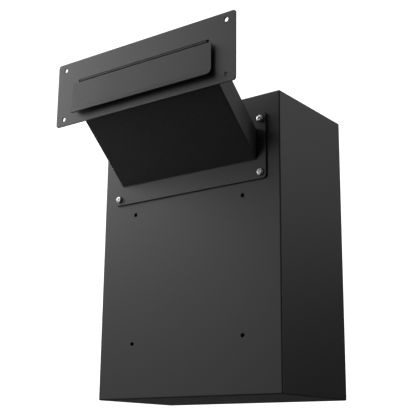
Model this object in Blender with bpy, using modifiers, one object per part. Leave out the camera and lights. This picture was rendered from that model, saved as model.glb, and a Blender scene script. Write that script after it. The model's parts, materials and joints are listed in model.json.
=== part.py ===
"""Through-the-wall parcel drop box: locked steel box, telescoping chute, outdoor faceplate with a flap.

Metres, +Z up. The origin is the centre of the box's underside. -Y faces the wall that the box hangs
on, with the chute passing through it, and +Y faces the room, where the door is.
"""
import math

import bmesh
import bpy
import numpy as np
from mathutils import Matrix, Vector

# Overall
BOX_WIDTH = 0.300
BOX_DEPTH = 0.160
BOX_HEIGHT = 0.390
SHEET = 0.0015              # folded steel sheet of the box and the door
FOLD_RADIUS = 0.0020        # outside of a fold
CONTACT_GAP = 0.0003        # between pieces that touch
CUT_PAST = 0.010            # cutters run this far past the faces that they cut
CORNER_STEPS = 5            # straight edges in a rounded plate corner

# Door frame folded from the box's rear edges
RETURN_WIDTH = 0.015
JAMB_DEPTH = 0.014
STOP_LIP = 0.006

# Holes for the screws that hold the box to the wall
WALL_HOLE_RADIUS = 0.0028
WALL_HOLE_SPACING_X = 0.183
WALL_HOLE_SPACING_Z = 0.182
WALL_HOLES_BELOW_FLANGE = 0.0175    # the flange's lower edge to the upper row

# Chute
CHUTE_REACH = 0.104         # from the box's wall face to the faceplate's outdoor face, pushed right in
CHUTE_WIDTH = 0.231         # outside of the lower sleeve
CHUTE_HEIGHT = 0.043        # outside of the lower sleeve, measured upright
CHUTE_WALL = 0.0015
SLEEVE_CLEARANCE = 0.0005   # between the two sleeves
CHUTE_FOOT_BELOW_TOP = 0.0715   # box's top to the middle of the chute at the wall face
CHUTE_RISE = 0.0959         # from there up to the middle of the chute at the faceplate's outdoor face
SLEEVE_END_GAP = 0.0010     # upper sleeve's lower end to the flange
WINDOW_SIDE_MARGIN = 0.0005
WINDOW_DROP = 0.0018        # the window's sill lies this much below the chute's floor

# Flange that bolts the chute to the box
FLANGE_SIDE_MARGIN = 0.014
FLANGE_TOP_MARGIN = 0.0235
FLANGE_THICKNESS = 0.0020
FLANGE_CORNER = 0.0050
BOLT_FROM_EDGE = 0.0085
BOLT_RADIUS = 0.0025
BOLT_LENGTH = 0.012
BOLT_HEAD_RADIUS = 0.00475
BOLT_HEAD_HEIGHT = 0.0030
BOLT_HOLE_CLEARANCE = 0.0003
BOLT_RECESS_WIDTH = 0.0011
BOLT_RECESS_SPAN = 0.0056
BOLT_RECESS_DEPTH = 0.0014
NUT_ACROSS_FLATS = 0.008
NUT_HEIGHT = 0.004

# Outdoor faceplate
FACEPLATE_WIDTH = 0.3055
FACEPLATE_HEIGHT = 0.093
FACEPLATE_THICKNESS = 0.0020
FACEPLATE_CORNER = 0.0040
FACEPLATE_HOLE_RADIUS = 0.0030
FACEPLATE_HOLE_FROM_END = 0.01425
FACEPLATE_HOLE_FROM_EDGE = 0.010

# Flap and its piano hinge
FLAP_SIDE_COVER = 0.007     # past each side of the mouth
FLAP_LOWER_COVER = 0.0095   # from the mouth's lower edge to the fold of the lip
FLAP_SHEET = 0.0015
FLAP_TOP_BELOW_PIN = 0.0040
FLAP_LIP_LENGTH = 0.0085
FLAP_LIP_ANGLE = math.radians(27.0)
FLAP_TOP_CORNER = 0.0030
FLAP_LIP_CORNER = 0.0045
FLAP_PIN_RADIUS = 0.0008
FLAP_LEAF_SHEET = 0.0006
FLAP_LEAF_WIDTH = 0.012
FLAP_LEAF_DROP = 0.0026     # moving leaf's middle surface to the pin's axis
FLAP_HINGE_END_GAP = 0.0028
FLAP_KNUCKLES = 12
FLAP_HEAD_GAP = 0.0010      # knuckle to the top edge of the mouth
BUMPER_RADIUS = 0.0040
BUMPER_FROM_FLAP_END = 0.019
BUMPER_ABOVE_LIP = 0.0045

# Door
DOOR_GAP = 0.0020           # all round, between the door and the frame
DOOR_EDGE_TO_LIP = 0.0005   # the door's folded edge to the frame's stop lip
STIFFENER_WIDTH = 0.040
STIFFENER_DEPTH = 0.008
STIFFENER_SHEET = 0.0012
STIFFENER_END_GAP = 0.030
DOOR_PIN_RADIUS = 0.0012
DOOR_LEAF_SHEET = 0.0011
DOOR_LEAF_WIDTH = 0.013
DOOR_HINGE_END_GAP = 0.010  # door's end to the hinge's end
DOOR_KNUCKLES = 14

# Both piano hinges
PIN_CLEARANCE = 0.0001
KNUCKLE_GAP = 0.0004
CURL_ANGLE = math.radians(270.0)
CURL_STEPS = 12

# Cam lock in the door
LOCK_FROM_DOOR_EDGE = 0.021
LOCK_ABOVE_MIDDLE = 0.0
LOCK_HEAD_RADIUS = 0.011
LOCK_HEAD_HEIGHT = 0.0025
LOCK_BODY_RADIUS = 0.0093
LOCK_PLUG_RADIUS = 0.0060
LOCK_RUNNING_GAP = 0.0001
LOCK_NUT_ACROSS_FLATS = 0.023
LOCK_NUT_HEIGHT = 0.005
CAM_THICKNESS = 0.0018
CAM_TO_LIP = 0.0004
CAM_WIDTH = 0.015
CAM_PAST_LIP = 0.008        # the locked cam reaches this far past the frame's jamb
TAIL_RADIUS = 0.0035
TAIL_FLAT = 0.0025
CAM_SCREW_RADIUS = 0.0045
CAM_SCREW_HEIGHT = 0.0020

# Key
KEY_THICKNESS = 0.0016
KEY_BLADE_WIDTH = 0.0074
KEY_BLADE_LENGTH = 0.015
KEY_NECK_LENGTH = 0.004
KEY_BOW_RADIUS = 0.011
KEY_BOW_HOLE_RADIUS = 0.0025
KEY_CLEARANCE = 0.00015
KEY_NOTCHES = 5
KEY_NOTCH_DEPTH = 0.0011

# What follows from the sizes above
WALL_FACE_Y = -BOX_DEPTH / 2
ROOM_FACE_Y = BOX_DEPTH / 2
MOUTH_FACE_Y = WALL_FACE_Y - CHUTE_REACH
CHUTE_FOOT_Z = BOX_HEIGHT - CHUTE_FOOT_BELOW_TOP
CHUTE_MOUTH_Z = CHUTE_FOOT_Z + CHUTE_RISE
SLOPE = CHUTE_RISE / CHUTE_REACH
SLOPE_ANGLE = math.atan(SLOPE)
UPRIGHT = 1.0 / math.cos(SLOPE_ANGLE)    # upright size of a thickness measured square to the slope
UPPER_WIDTH = CHUTE_WIDTH - 2 * (CHUTE_WALL + SLEEVE_CLEARANCE)
UPPER_HEIGHT = CHUTE_HEIGHT - 2 * (CHUTE_WALL + SLEEVE_CLEARANCE) * UPRIGHT
MOUTH_WIDTH = UPPER_WIDTH - 2 * CHUTE_WALL
MOUTH_HEIGHT = UPPER_HEIGHT - 2 * CHUTE_WALL * UPRIGHT
FLANGE_WIDTH = CHUTE_WIDTH + 2 * FLANGE_SIDE_MARGIN
FLANGE_HEIGHT = CHUTE_HEIGHT + 2 * FLANGE_TOP_MARGIN
BOLT_SPACING_X = FLANGE_WIDTH - 2 * BOLT_FROM_EDGE
BOLT_SPACING_Z = FLANGE_HEIGHT - 2 * BOLT_FROM_EDGE
FLANGE_BOTTOM_Z = CHUTE_FOOT_Z - FLANGE_HEIGHT / 2
WALL_HOLE_CENTRE_Z = FLANGE_BOTTOM_Z - WALL_HOLES_BELOW_FLANGE - WALL_HOLE_SPACING_Z / 2
FACEPLATE_HOLE_SPACING_X = FACEPLATE_WIDTH - 2 * FACEPLATE_HOLE_FROM_END
FACEPLATE_HOLE_SPACING_Z = FACEPLATE_HEIGHT - 2 * FACEPLATE_HOLE_FROM_EDGE
FLANGE_BACK_Y = WALL_FACE_Y - CONTACT_GAP
FLANGE_FRONT_Y = FLANGE_BACK_Y - FLANGE_THICKNESS
FACEPLATE_BACK_Y = MOUTH_FACE_Y + FACEPLATE_THICKNESS
FRAME_EDGE_X = BOX_WIDTH / 2 - RETURN_WIDTH
LIP_FRONT_Y = ROOM_FACE_Y - JAMB_DEPTH
DOOR_WIDTH = 2 * (FRAME_EDGE_X - DOOR_GAP)
DOOR_HEIGHT = BOX_HEIGHT - 2 * (RETURN_WIDTH + DOOR_GAP)
DOOR_DEPTH = JAMB_DEPTH - DOOR_EDGE_TO_LIP
DOOR_MIDDLE_Z = BOX_HEIGHT / 2
FLAP_PIN_Y = MOUTH_FACE_Y
FLAP_KNUCKLE_RADIUS = FLAP_PIN_RADIUS + PIN_CLEARANCE + FLAP_LEAF_SHEET
FLAP_PIN_Z = CHUTE_MOUTH_Z + MOUTH_HEIGHT / 2 - FLAP_HEAD_GAP - FLAP_KNUCKLE_RADIUS
FLAP_BACK_Y = FLAP_PIN_Y - FLAP_LEAF_DROP - FLAP_LEAF_SHEET / 2 - CONTACT_GAP
FLAP_TOP_Z = FLAP_PIN_Z - FLAP_TOP_BELOW_PIN
FLAP_FOLD_Z = CHUTE_MOUTH_Z - MOUTH_HEIGHT / 2 - FLAP_LOWER_COVER
FLAP_FACE_HEIGHT = FLAP_TOP_Z - FLAP_FOLD_Z
FLAP_WIDTH = MOUTH_WIDTH + 2 * FLAP_SIDE_COVER
FLAP_HINGE_LENGTH = MOUTH_WIDTH - 2 * FLAP_HINGE_END_GAP
BUMPER_SPACING = FLAP_WIDTH - 2 * BUMPER_FROM_FLAP_END
DOOR_KNUCKLE_RADIUS = DOOR_PIN_RADIUS + PIN_CLEARANCE + DOOR_LEAF_SHEET
DOOR_HINGE_LENGTH = DOOR_HEIGHT - 2 * DOOR_HINGE_END_GAP
DOOR_PIN_X = FRAME_EDGE_X - DOOR_GAP / 2
DOOR_PIN_Y = ROOM_FACE_Y + CONTACT_GAP + DOOR_KNUCKLE_RADIUS
LOCK_X = -DOOR_WIDTH / 2 + LOCK_FROM_DOOR_EDGE
LOCK_HEIGHT = DOOR_MIDDLE_Z + LOCK_ABOVE_MIDDLE
CAM_FRONT_Y = LIP_FRONT_Y - SHEET - CAM_TO_LIP
CAM_BACK_Y = CAM_FRONT_Y - CAM_THICKNESS
CAM_REACH = LOCK_X + FRAME_EDGE_X + SHEET + CAM_PAST_LIP
PLUG_FRONT_Y = ROOM_FACE_Y + CONTACT_GAP + LOCK_HEAD_HEIGHT
PLUG_BACK_Y = CAM_FRONT_Y + CONTACT_GAP

TURN_TO_X = Matrix.Rotation(math.pi / 2, 4, "Y")      # local +Z to +X
TURN_TO_Y = Matrix.Rotation(-math.pi / 2, 4, "X")     # local +Z to +Y
TURN_TO_MINUS_Y = Matrix.Rotation(math.pi / 2, 4, "X")  # local +Z to -Y

for old in list(bpy.data.objects):
    bpy.data.objects.remove(old, do_unlink=True)

PARTS = bpy.data.collections.new("parcel_drop_box")
CUTTERS = bpy.data.collections.new("cutters")
for group in (PARTS, CUTTERS):
    bpy.context.scene.collection.children.link(group)


def material(name, colour, roughness, metallic):
    made = bpy.data.materials.new(name)
    made.use_nodes = True
    shader = made.node_tree.nodes["Principled BSDF"]
    shader.inputs["Base Color"].default_value = (*colour, 1.0)
    shader.inputs["Roughness"].default_value = roughness
    shader.inputs["Metallic"].default_value = metallic
    return made


COATED = material("black_powder_coat", (0.035, 0.035, 0.037), 0.55, 0.0)
ZINC = material("zinc_plated_steel", (0.72, 0.73, 0.75), 0.30, 1.0)
STEEL = material("bright_steel", (0.55, 0.55, 0.56), 0.38, 1.0)
CHROME = material("chromed_lock", (0.80, 0.80, 0.82), 0.15, 1.0)
BRASS = material("nickelled_brass", (0.70, 0.66, 0.55), 0.28, 1.0)
RUBBER = material("black_rubber", (0.02, 0.02, 0.02), 0.85, 0.0)


def own_material(obj, base):
    """Each piece carries its own copy of its finish."""
    finish = base.copy()
    finish.name = obj.name + "_" + base.name
    obj.data.materials.clear()
    obj.data.materials.append(finish)


def part(name, mesh, finish, location=(0, 0, 0), turn=None):
    obj = bpy.data.objects.new(name, mesh)
    PARTS.objects.link(obj)
    obj.matrix_world = Matrix.Translation(Vector(location)) @ (turn or Matrix())
    own_material(obj, finish)
    return obj


def cutter(name, mesh, location=(0, 0, 0), turn=None):
    obj = bpy.data.objects.new(name, mesh)
    CUTTERS.objects.link(obj)
    obj.matrix_world = Matrix.Translation(Vector(location)) @ (turn or Matrix())
    obj.hide_render = True
    obj.display_type = "WIRE"
    return obj


def follow(obj, leader):
    """Parents an object without moving it."""
    obj.parent = leader
    obj.matrix_parent_inverse = leader.matrix_world.inverted()


def combine(obj, other, operation="DIFFERENCE"):
    """Cuts or joins with another solid, which then moves with the piece."""
    modifier = obj.modifiers.new(other.name, "BOOLEAN")
    modifier.operation = operation
    modifier.solver = "EXACT"
    modifier.object = other
    follow(other, obj)


def mesh_of(bm, name, smooth_angle=None):
    mesh = bpy.data.meshes.new(name)
    bm.to_mesh(mesh)
    bm.free()
    if smooth_angle is not None:
        mesh.shade_smooth()
        mesh.set_sharp_from_angle(angle=smooth_angle)
    return mesh


def box_mesh(name, low, high, shear=0.0):
    """A box between two corners; shear lifts it by that much for each metre towards -Y."""
    bm = bmesh.new()
    bmesh.ops.create_cube(bm, size=1.0)
    low = Vector(low)
    high = Vector(high)
    middle = (low + high) / 2
    for vertex in bm.verts:
        for axis in range(3):
            vertex.co[axis] = middle[axis] + vertex.co[axis] * (high[axis] - low[axis])
        vertex.co.z -= shear * vertex.co.y
    return mesh_of(bm, name)


def cylinders_mesh(name, radius, depth, centres, segments=20):
    """Round pins along local Z, one at each centre."""
    bm = bmesh.new()
    for centre in centres:
        place = Matrix.Translation(Vector(centre))
        bmesh.ops.create_cone(bm, cap_ends=True, segments=segments, radius1=radius, radius2=radius,
                              depth=depth, matrix=place)
    return mesh_of(bm, name, math.radians(40))


def rectangle_corners(spacing_x, spacing_z):
    """X and Z of a rectangle's corners about its middle."""
    return [(sx * spacing_x / 2, sz * spacing_z / 2) for sx in (-1, 1) for sz in (-1, 1)]


def holes_along_y(name, radius, spacing_x, spacing_z, y, centre_z):
    """A cutter with a pin at each corner of an upright rectangle."""
    centres = [(x, -(centre_z + z), y) for x, z in rectangle_corners(spacing_x, spacing_z)]
    return cutter(name, cylinders_mesh(name, radius, CUT_PAST, centres), turn=TURN_TO_Y)


def rounded_plate(name, width, height, thickness, corner, finish, location):
    """A flat upright plate with round corners, its thickness along Y."""
    outline = bpy.data.curves.new(name, "CURVE")
    outline.dimensions = "2D"
    outline.fill_mode = "BOTH"
    outline.extrude = thickness / 2
    points = []
    for quarter, sx, sz in ((0, 1, 1), (1, -1, 1), (2, -1, -1), (3, 1, -1)):
        for step in range(CORNER_STEPS + 1):
            angle = math.pi / 2 * (quarter + step / CORNER_STEPS)
            x = sx * (width / 2 - corner) + corner * math.cos(angle)
            z = sz * (height / 2 - corner) + corner * math.sin(angle)
            points.append((x, z, 0.0, 1.0))
    spline = outline.splines.new("POLY")
    spline.points.add(len(points) - 1)
    for point, place in zip(spline.points, points):
        point.co = place
    spline.use_cyclic_u = True
    source = bpy.data.objects.new(name + "_outline", outline)
    CUTTERS.objects.link(source)
    evaluated = source.evaluated_get(bpy.context.evaluated_depsgraph_get())
    mesh = bpy.data.meshes.new_from_object(evaluated)
    bpy.data.objects.remove(source, do_unlink=True)
    mesh.name = name
    bm = bmesh.new()
    bm.from_mesh(mesh)
    bmesh.ops.remove_doubles(bm, verts=bm.verts, dist=1e-6)
    bm.to_mesh(mesh)
    bm.free()
    return part(name, mesh, finish, location, TURN_TO_MINUS_Y)


def turned(name, profile, finish, location, turn, steps=28):
    """A round piece: the profile (radius, height) runs down its outer side."""
    mesh = bpy.data.meshes.new(name)
    count = len(profile)
    closed = profile[0][0] > 0
    edges = [(i, i + 1) for i in range(count - 1)]
    if closed:
        edges.append((count - 1, 0))
    mesh.from_pydata([(r, 0.0, h) for r, h in profile], edges, [])
    obj = part(name, mesh, finish, location, turn)
    screw = obj.modifiers.new("turn", "SCREW")
    screw.axis = "Z"
    screw.angle = 2 * math.pi
    screw.steps = steps
    screw.render_steps = steps
    screw.use_merge_vertices = True
    screw.merge_threshold = 1e-5
    screw.use_smooth_shade = True
    return obj


def solidify(obj, thickness, offset):
    modifier = obj.modifiers.new("sheet", "SOLIDIFY")
    modifier.thickness = thickness
    modifier.offset = offset
    modifier.use_even_offset = True
    modifier.use_quality_normals = True


def round_folds(obj, radius):
    modifier = obj.modifiers.new("folds", "BEVEL")
    modifier.width = radius
    modifier.segments = 3
    modifier.limit_method = "ANGLE"
    modifier.angle_limit = math.radians(40)


def open_box(name, low, high, missing_side):
    """The surface of a box without its +Y (1) or -Y (-1) side, as an editable mesh."""
    bm = bmesh.new()
    bm.from_mesh(box_mesh(name, low, high))
    bm.normal_update()
    missing = [face for face in bm.faces if face.normal.y * missing_side > 0.5]
    bmesh.ops.delete(bm, geom=missing, context="FACES_ONLY")
    return bm


def extend_rim(bm, inward, along_y, centre_z):
    """Folds the open rim on: inward in X and Z, and along Y."""
    rim = [edge for edge in bm.edges if edge.is_boundary]
    grown = bmesh.ops.extrude_edge_only(bm, edges=rim)["geom"]
    for vertex in (item for item in grown if isinstance(item, bmesh.types.BMVert)):
        vertex.co.x -= math.copysign(inward, vertex.co.x)
        vertex.co.z -= math.copysign(inward, vertex.co.z - centre_z)
        vertex.co.y += along_y


def window_cutter(name):
    """The mail's way through the box's wall panel and the flange."""
    half = MOUTH_WIDTH / 2 + WINDOW_SIDE_MARGIN
    low = (-half, FLANGE_FRONT_Y - CUT_PAST, CHUTE_FOOT_Z - MOUTH_HEIGHT / 2 - WINDOW_DROP)
    high = (half, WALL_FACE_Y + CUT_PAST, CHUTE_FOOT_Z + MOUTH_HEIGHT / 2)
    return cutter(name, box_mesh(name, low, high))


def make_body_shell():
    """Box folded from one blank, open to the room, with a rabbeted door frame round its rear."""
    low = (-BOX_WIDTH / 2, WALL_FACE_Y, 0.0)
    high = (BOX_WIDTH / 2, ROOM_FACE_Y, BOX_HEIGHT)
    bm = open_box("body_shell", low, high, 1)
    extend_rim(bm, RETURN_WIDTH, 0.0, DOOR_MIDDLE_Z)
    extend_rim(bm, 0.0, -JAMB_DEPTH, DOOR_MIDDLE_Z)
    extend_rim(bm, STOP_LIP, 0.0, DOOR_MIDDLE_Z)
    shell = part("body_shell", mesh_of(bm, "body_shell"), COATED)
    round_folds(shell, FOLD_RADIUS)
    solidify(shell, SHEET, -1.0)
    combine(shell, window_cutter("box_window"))
    combine(shell, holes_along_y("wall_screw_holes", WALL_HOLE_RADIUS, WALL_HOLE_SPACING_X,
                                 WALL_HOLE_SPACING_Z, WALL_FACE_Y, WALL_HOLE_CENTRE_Z))
    combine(shell, holes_along_y("box_bolt_holes", BOLT_RADIUS + BOLT_HOLE_CLEARANCE, BOLT_SPACING_X,
                                 BOLT_SPACING_Z, WALL_FACE_Y, CHUTE_FOOT_Z))


def make_flange():
    """Flat plate welded round the chute's foot and bolted to the box."""
    flange = rounded_plate("chute_flange", FLANGE_WIDTH, FLANGE_HEIGHT, FLANGE_THICKNESS, FLANGE_CORNER,
                           COATED, (0, FLANGE_BACK_Y - FLANGE_THICKNESS / 2, CHUTE_FOOT_Z))
    combine(flange, window_cutter("flange_window"))
    combine(flange, holes_along_y("flange_bolt_holes", BOLT_RADIUS + BOLT_HOLE_CLEARANCE, BOLT_SPACING_X,
                                  BOLT_SPACING_Z, FLANGE_FRONT_Y, CHUTE_FOOT_Z))


def chute_sleeve(name, width, height, foot_y, head_y):
    """A sloping rectangular duct with upright ends."""
    def duct(label, duct_width, duct_height, start_y, end_y):
        base_z = CHUTE_FOOT_Z + SLOPE * WALL_FACE_Y
        low = (-duct_width / 2, end_y, base_z - duct_height / 2)
        high = (duct_width / 2, start_y, base_z + duct_height / 2)
        return box_mesh(label, low, high, SLOPE)
    sleeve = part(name, duct(name, width, height, foot_y, head_y), COATED)
    bore = duct(name + "_bore", width - 2 * CHUTE_WALL, height - 2 * CHUTE_WALL * UPRIGHT,
                foot_y + CUT_PAST, head_y - CUT_PAST)
    combine(sleeve, cutter(name + "_bore", bore))


def make_chute():
    """The lower sleeve stands on the flange; the upper one slides in it and carries the faceplate."""
    chute_sleeve("chute_sleeve_lower", CHUTE_WIDTH, CHUTE_HEIGHT,
                 FLANGE_FRONT_Y - CONTACT_GAP, FACEPLATE_BACK_Y + CONTACT_GAP)
    chute_sleeve("chute_sleeve_upper", UPPER_WIDTH, UPPER_HEIGHT,
                 FLANGE_FRONT_Y - SLEEVE_END_GAP, FACEPLATE_BACK_Y + CONTACT_GAP)


def make_faceplate():
    """Outdoor plate round the mouth, welded to the upper sleeve's head."""
    plate = rounded_plate("faceplate", FACEPLATE_WIDTH, FACEPLATE_HEIGHT, FACEPLATE_THICKNESS,
                          FACEPLATE_CORNER, COATED,
                          (0, FACEPLATE_BACK_Y - FACEPLATE_THICKNESS / 2, CHUTE_MOUTH_Z))
    low = (-MOUTH_WIDTH / 2, MOUTH_FACE_Y - CUT_PAST, CHUTE_MOUTH_Z - MOUTH_HEIGHT / 2)
    high = (MOUTH_WIDTH / 2, FACEPLATE_BACK_Y + CUT_PAST, CHUTE_MOUTH_Z + MOUTH_HEIGHT / 2)
    combine(plate, cutter("mouth", box_mesh("mouth", low, high)))
    combine(plate, holes_along_y("faceplate_holes", FACEPLATE_HOLE_RADIUS, FACEPLATE_HOLE_SPACING_X,
                                 FACEPLATE_HOLE_SPACING_Z, MOUTH_FACE_Y, CHUTE_MOUTH_Z))


def make_flap_bumpers():
    """Two rubber buttons on the faceplate hold the closed flap off it."""
    height = MOUTH_FACE_Y - FLAP_BACK_Y - 2 * CONTACT_GAP
    profile = [(0.0, height), (BUMPER_RADIUS * 0.6, height), (BUMPER_RADIUS, height * 0.45),
               (BUMPER_RADIUS, 0.0), (0.0, 0.0)]
    for side, label in ((-1, "left"), (1, "right")):
        place = (side * BUMPER_SPACING / 2, MOUTH_FACE_Y - CONTACT_GAP, FLAP_FOLD_Z + BUMPER_ABOVE_LIP)
        turned("flap_bumper_" + label, profile, RUBBER, place, TURN_TO_MINUS_Y, 16)


def make_flap():
    """Sheet with round corners, hung on the hinge, its lower edge bent out as a finger lip."""
    def half_width(down):
        """Half the sheet's width at a distance down the sheet, with arcs at its four corners."""
        length = FLAP_FACE_HEIGHT + FLAP_LIP_LENGTH
        rise = np.array([FLAP_TOP_CORNER - down, FLAP_LIP_CORNER - (length - down)])
        radius = np.array([FLAP_TOP_CORNER, FLAP_LIP_CORNER])
        into = np.clip(rise, 0.0, radius)
        return FLAP_WIDTH / 2 - float(np.sum(radius - np.sqrt(radius ** 2 - into ** 2)))

    def place(down):
        """Y and Z of the sheet's back at a distance down it."""
        along = max(0.0, down - FLAP_FACE_HEIGHT)
        y = FLAP_BACK_Y - along * math.sin(FLAP_LIP_ANGLE)
        z = FLAP_TOP_Z - min(down, FLAP_FACE_HEIGHT) - along * math.cos(FLAP_LIP_ANGLE)
        return y, z

    arc = [1 - math.cos(math.pi / 2 * step / CORNER_STEPS) for step in range(CORNER_STEPS + 1)]
    length = FLAP_FACE_HEIGHT + FLAP_LIP_LENGTH
    downs = [FLAP_TOP_CORNER * share for share in arc]
    downs += [FLAP_FACE_HEIGHT]
    downs += [length - FLAP_LIP_CORNER * share for share in reversed(arc)]
    vertices = []
    for down in downs:
        y, z = place(down)
        reach = half_width(down)
        vertices += [(-reach, y, z), (reach, y, z)]
    faces = [(2 * i, 2 * i + 1, 2 * i + 3, 2 * i + 2) for i in range(len(downs) - 1)]
    pivot = Vector((0, FLAP_PIN_Y, FLAP_PIN_Z))
    mesh = bpy.data.meshes.new("flap")
    mesh.from_pydata([Vector(v) - pivot for v in vertices], [], faces)
    flap = part("flap", mesh, COATED, pivot)
    solidify(flap, FLAP_SHEET, -1.0)


def hinge_leaf(name, side, parity, pin_radius, sheet, width, drop, length, knuckles, location, turn):
    """One leaf of a piano hinge, with its pin's axis along local Z.

    The sheet runs in from the leaf's free edge, on the -Y side of the pin, and then curls round it.
    Every second knuckle belongs to this leaf.
    """
    inner = pin_radius + PIN_CLEARANCE
    middle = inner + sheet / 2
    clear = inner + sheet + CONTACT_GAP
    path = [(side * width, -drop), (side * clear, -drop)]
    for step in range(CURL_STEPS + 1):
        angle = -math.pi / 2 - CURL_ANGLE * step / CURL_STEPS
        path.append((side * middle * math.cos(angle), middle * math.sin(angle)))
    pitch = length / knuckles
    stations = []
    for index in range(knuckles):
        start = index * pitch - length / 2
        stations += [start + KNUCKLE_GAP / 2, start + pitch - KNUCKLE_GAP / 2]
    rows = len(path)
    vertices = [(x, y, z) for z in stations for x, y in path]
    faces = []
    for column in range(len(stations) - 1):
        own = column % 2 == 0 and (column // 2) % 2 == parity
        for row in range(rows - 1 if own else 1):
            first = column * rows + row
            faces.append((first, first + 1, first + rows + 1, first + rows))
    bm = bmesh.new()
    points = [bm.verts.new(v) for v in vertices]
    for face in faces:
        bm.faces.new([points[i] for i in face])
    bmesh.ops.delete(bm, geom=[v for v in bm.verts if not v.link_faces], context="VERTS")
    mesh = mesh_of(bm, name, math.radians(50))
    leaf = part(name, mesh, COATED, location, turn)
    solidify(leaf, sheet, 0.0)


def hinge_pin(name, radius, length, location, turn):
    mesh = cylinders_mesh(name, radius, length, [(0, 0, 0)], 16)
    part(name, mesh, STEEL, location, turn)


def make_flap_hinge():
    """Piano hinge along the top of the mouth: one leaf under the chute's roof, one on the flap's back."""
    place = (0, FLAP_PIN_Y, FLAP_PIN_Z)
    # Local +X lies down the flap for the moving leaf and down the chute for the fixed one.
    down_flap = Matrix(((0, 0, 1, 0), (0, 1, 0, 0), (-1, 0, 0, 0), (0, 0, 0, 1)))
    along = (math.cos(SLOPE_ANGLE), -math.sin(SLOPE_ANGLE))
    roofward = (-math.sin(SLOPE_ANGLE), -math.cos(SLOPE_ANGLE))
    down_chute = Matrix(((0, 0, 1, 0), (along[0], roofward[0], 0, 0), (along[1], roofward[1], 0, 0),
                         (0, 0, 0, 1)))
    middle = FLAP_PIN_RADIUS + PIN_CLEARANCE + FLAP_LEAF_SHEET / 2
    hinge_leaf("flap_hinge_moving_leaf", 1, 0, FLAP_PIN_RADIUS, FLAP_LEAF_SHEET, FLAP_LEAF_WIDTH,
               FLAP_LEAF_DROP, FLAP_HINGE_LENGTH, FLAP_KNUCKLES, place, down_flap)
    hinge_leaf("flap_hinge_fixed_leaf", 1, 1, FLAP_PIN_RADIUS, FLAP_LEAF_SHEET, FLAP_LEAF_WIDTH,
               middle, FLAP_HINGE_LENGTH, FLAP_KNUCKLES, place, down_chute)
    hinge_pin("flap_hinge_pin", FLAP_PIN_RADIUS, FLAP_HINGE_LENGTH, place, TURN_TO_X)


def make_door():
    """Shallow pan that sits in the frame, its edges folded in towards the stop lip."""
    low = Vector((-DOOR_WIDTH / 2, ROOM_FACE_Y - DOOR_DEPTH, DOOR_MIDDLE_Z - DOOR_HEIGHT / 2))
    high = Vector((DOOR_WIDTH / 2, ROOM_FACE_Y, DOOR_MIDDLE_Z + DOOR_HEIGHT / 2))
    pivot = Vector((DOOR_PIN_X, DOOR_PIN_Y, DOOR_MIDDLE_Z))
    bm = open_box("door_panel", low - pivot, high - pivot, -1)
    door = part("door_panel", mesh_of(bm, "door_panel"), COATED, pivot)
    round_folds(door, FOLD_RADIUS)
    solidify(door, SHEET, -1.0)
    hole = cylinders_mesh("lock_hole", LOCK_BODY_RADIUS + CONTACT_GAP, CUT_PAST, [(0, 0, 0)], 28)
    combine(door, cutter("lock_hole", hole, (LOCK_X, ROOM_FACE_Y, LOCK_HEIGHT), TURN_TO_Y))


def make_stiffener():
    """Upright channel welded inside the door."""
    top = ROOM_FACE_Y - SHEET - CONTACT_GAP
    half = STIFFENER_WIDTH / 2
    reach = DOOR_HEIGHT / 2 - STIFFENER_END_GAP
    path = [(-half, top), (-half, top - STIFFENER_DEPTH), (half, top - STIFFENER_DEPTH), (half, top)]
    vertices = [(x, y, DOOR_MIDDLE_Z + z) for z in (-reach, reach) for x, y in path]
    faces = [(i, i + 1, i + 5, i + 4) for i in range(3)]
    mesh = bpy.data.meshes.new("door_stiffener")
    mesh.from_pydata(vertices, [], faces)
    channel = part("door_stiffener", mesh, COATED)
    solidify(channel, STIFFENER_SHEET, -1.0)


def make_door_hinge():
    """Piano hinge on the room side, one leaf on the frame and one on the door."""
    place = (DOOR_PIN_X, DOOR_PIN_Y, DOOR_MIDDLE_Z)
    middle = DOOR_PIN_RADIUS + PIN_CLEARANCE + DOOR_LEAF_SHEET / 2
    for name, side, parity in (("door_hinge_frame_leaf", 1, 0), ("door_hinge_door_leaf", -1, 1)):
        hinge_leaf(name, side, parity, DOOR_PIN_RADIUS, DOOR_LEAF_SHEET, DOOR_LEAF_WIDTH, middle,
                   DOOR_HINGE_LENGTH, DOOR_KNUCKLES, place, Matrix())
    hinge_pin("door_hinge_pin", DOOR_PIN_RADIUS, DOOR_HINGE_LENGTH, place, Matrix())


def hexagon_nut(name, across_flats, height, bore, finish, location, turn):
    """A hexagon nut along local Z, with its bore."""
    mesh = cylinders_mesh(name, across_flats / math.sqrt(3), height, [(0, 0, height / 2)], 6)
    nut = part(name, mesh, finish, location, turn)
    hole = cylinders_mesh(name + "_bore", bore, height * 3, [(0, 0, 0)], 24)
    combine(nut, cutter(name + "_bore", hole, location, turn))


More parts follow.
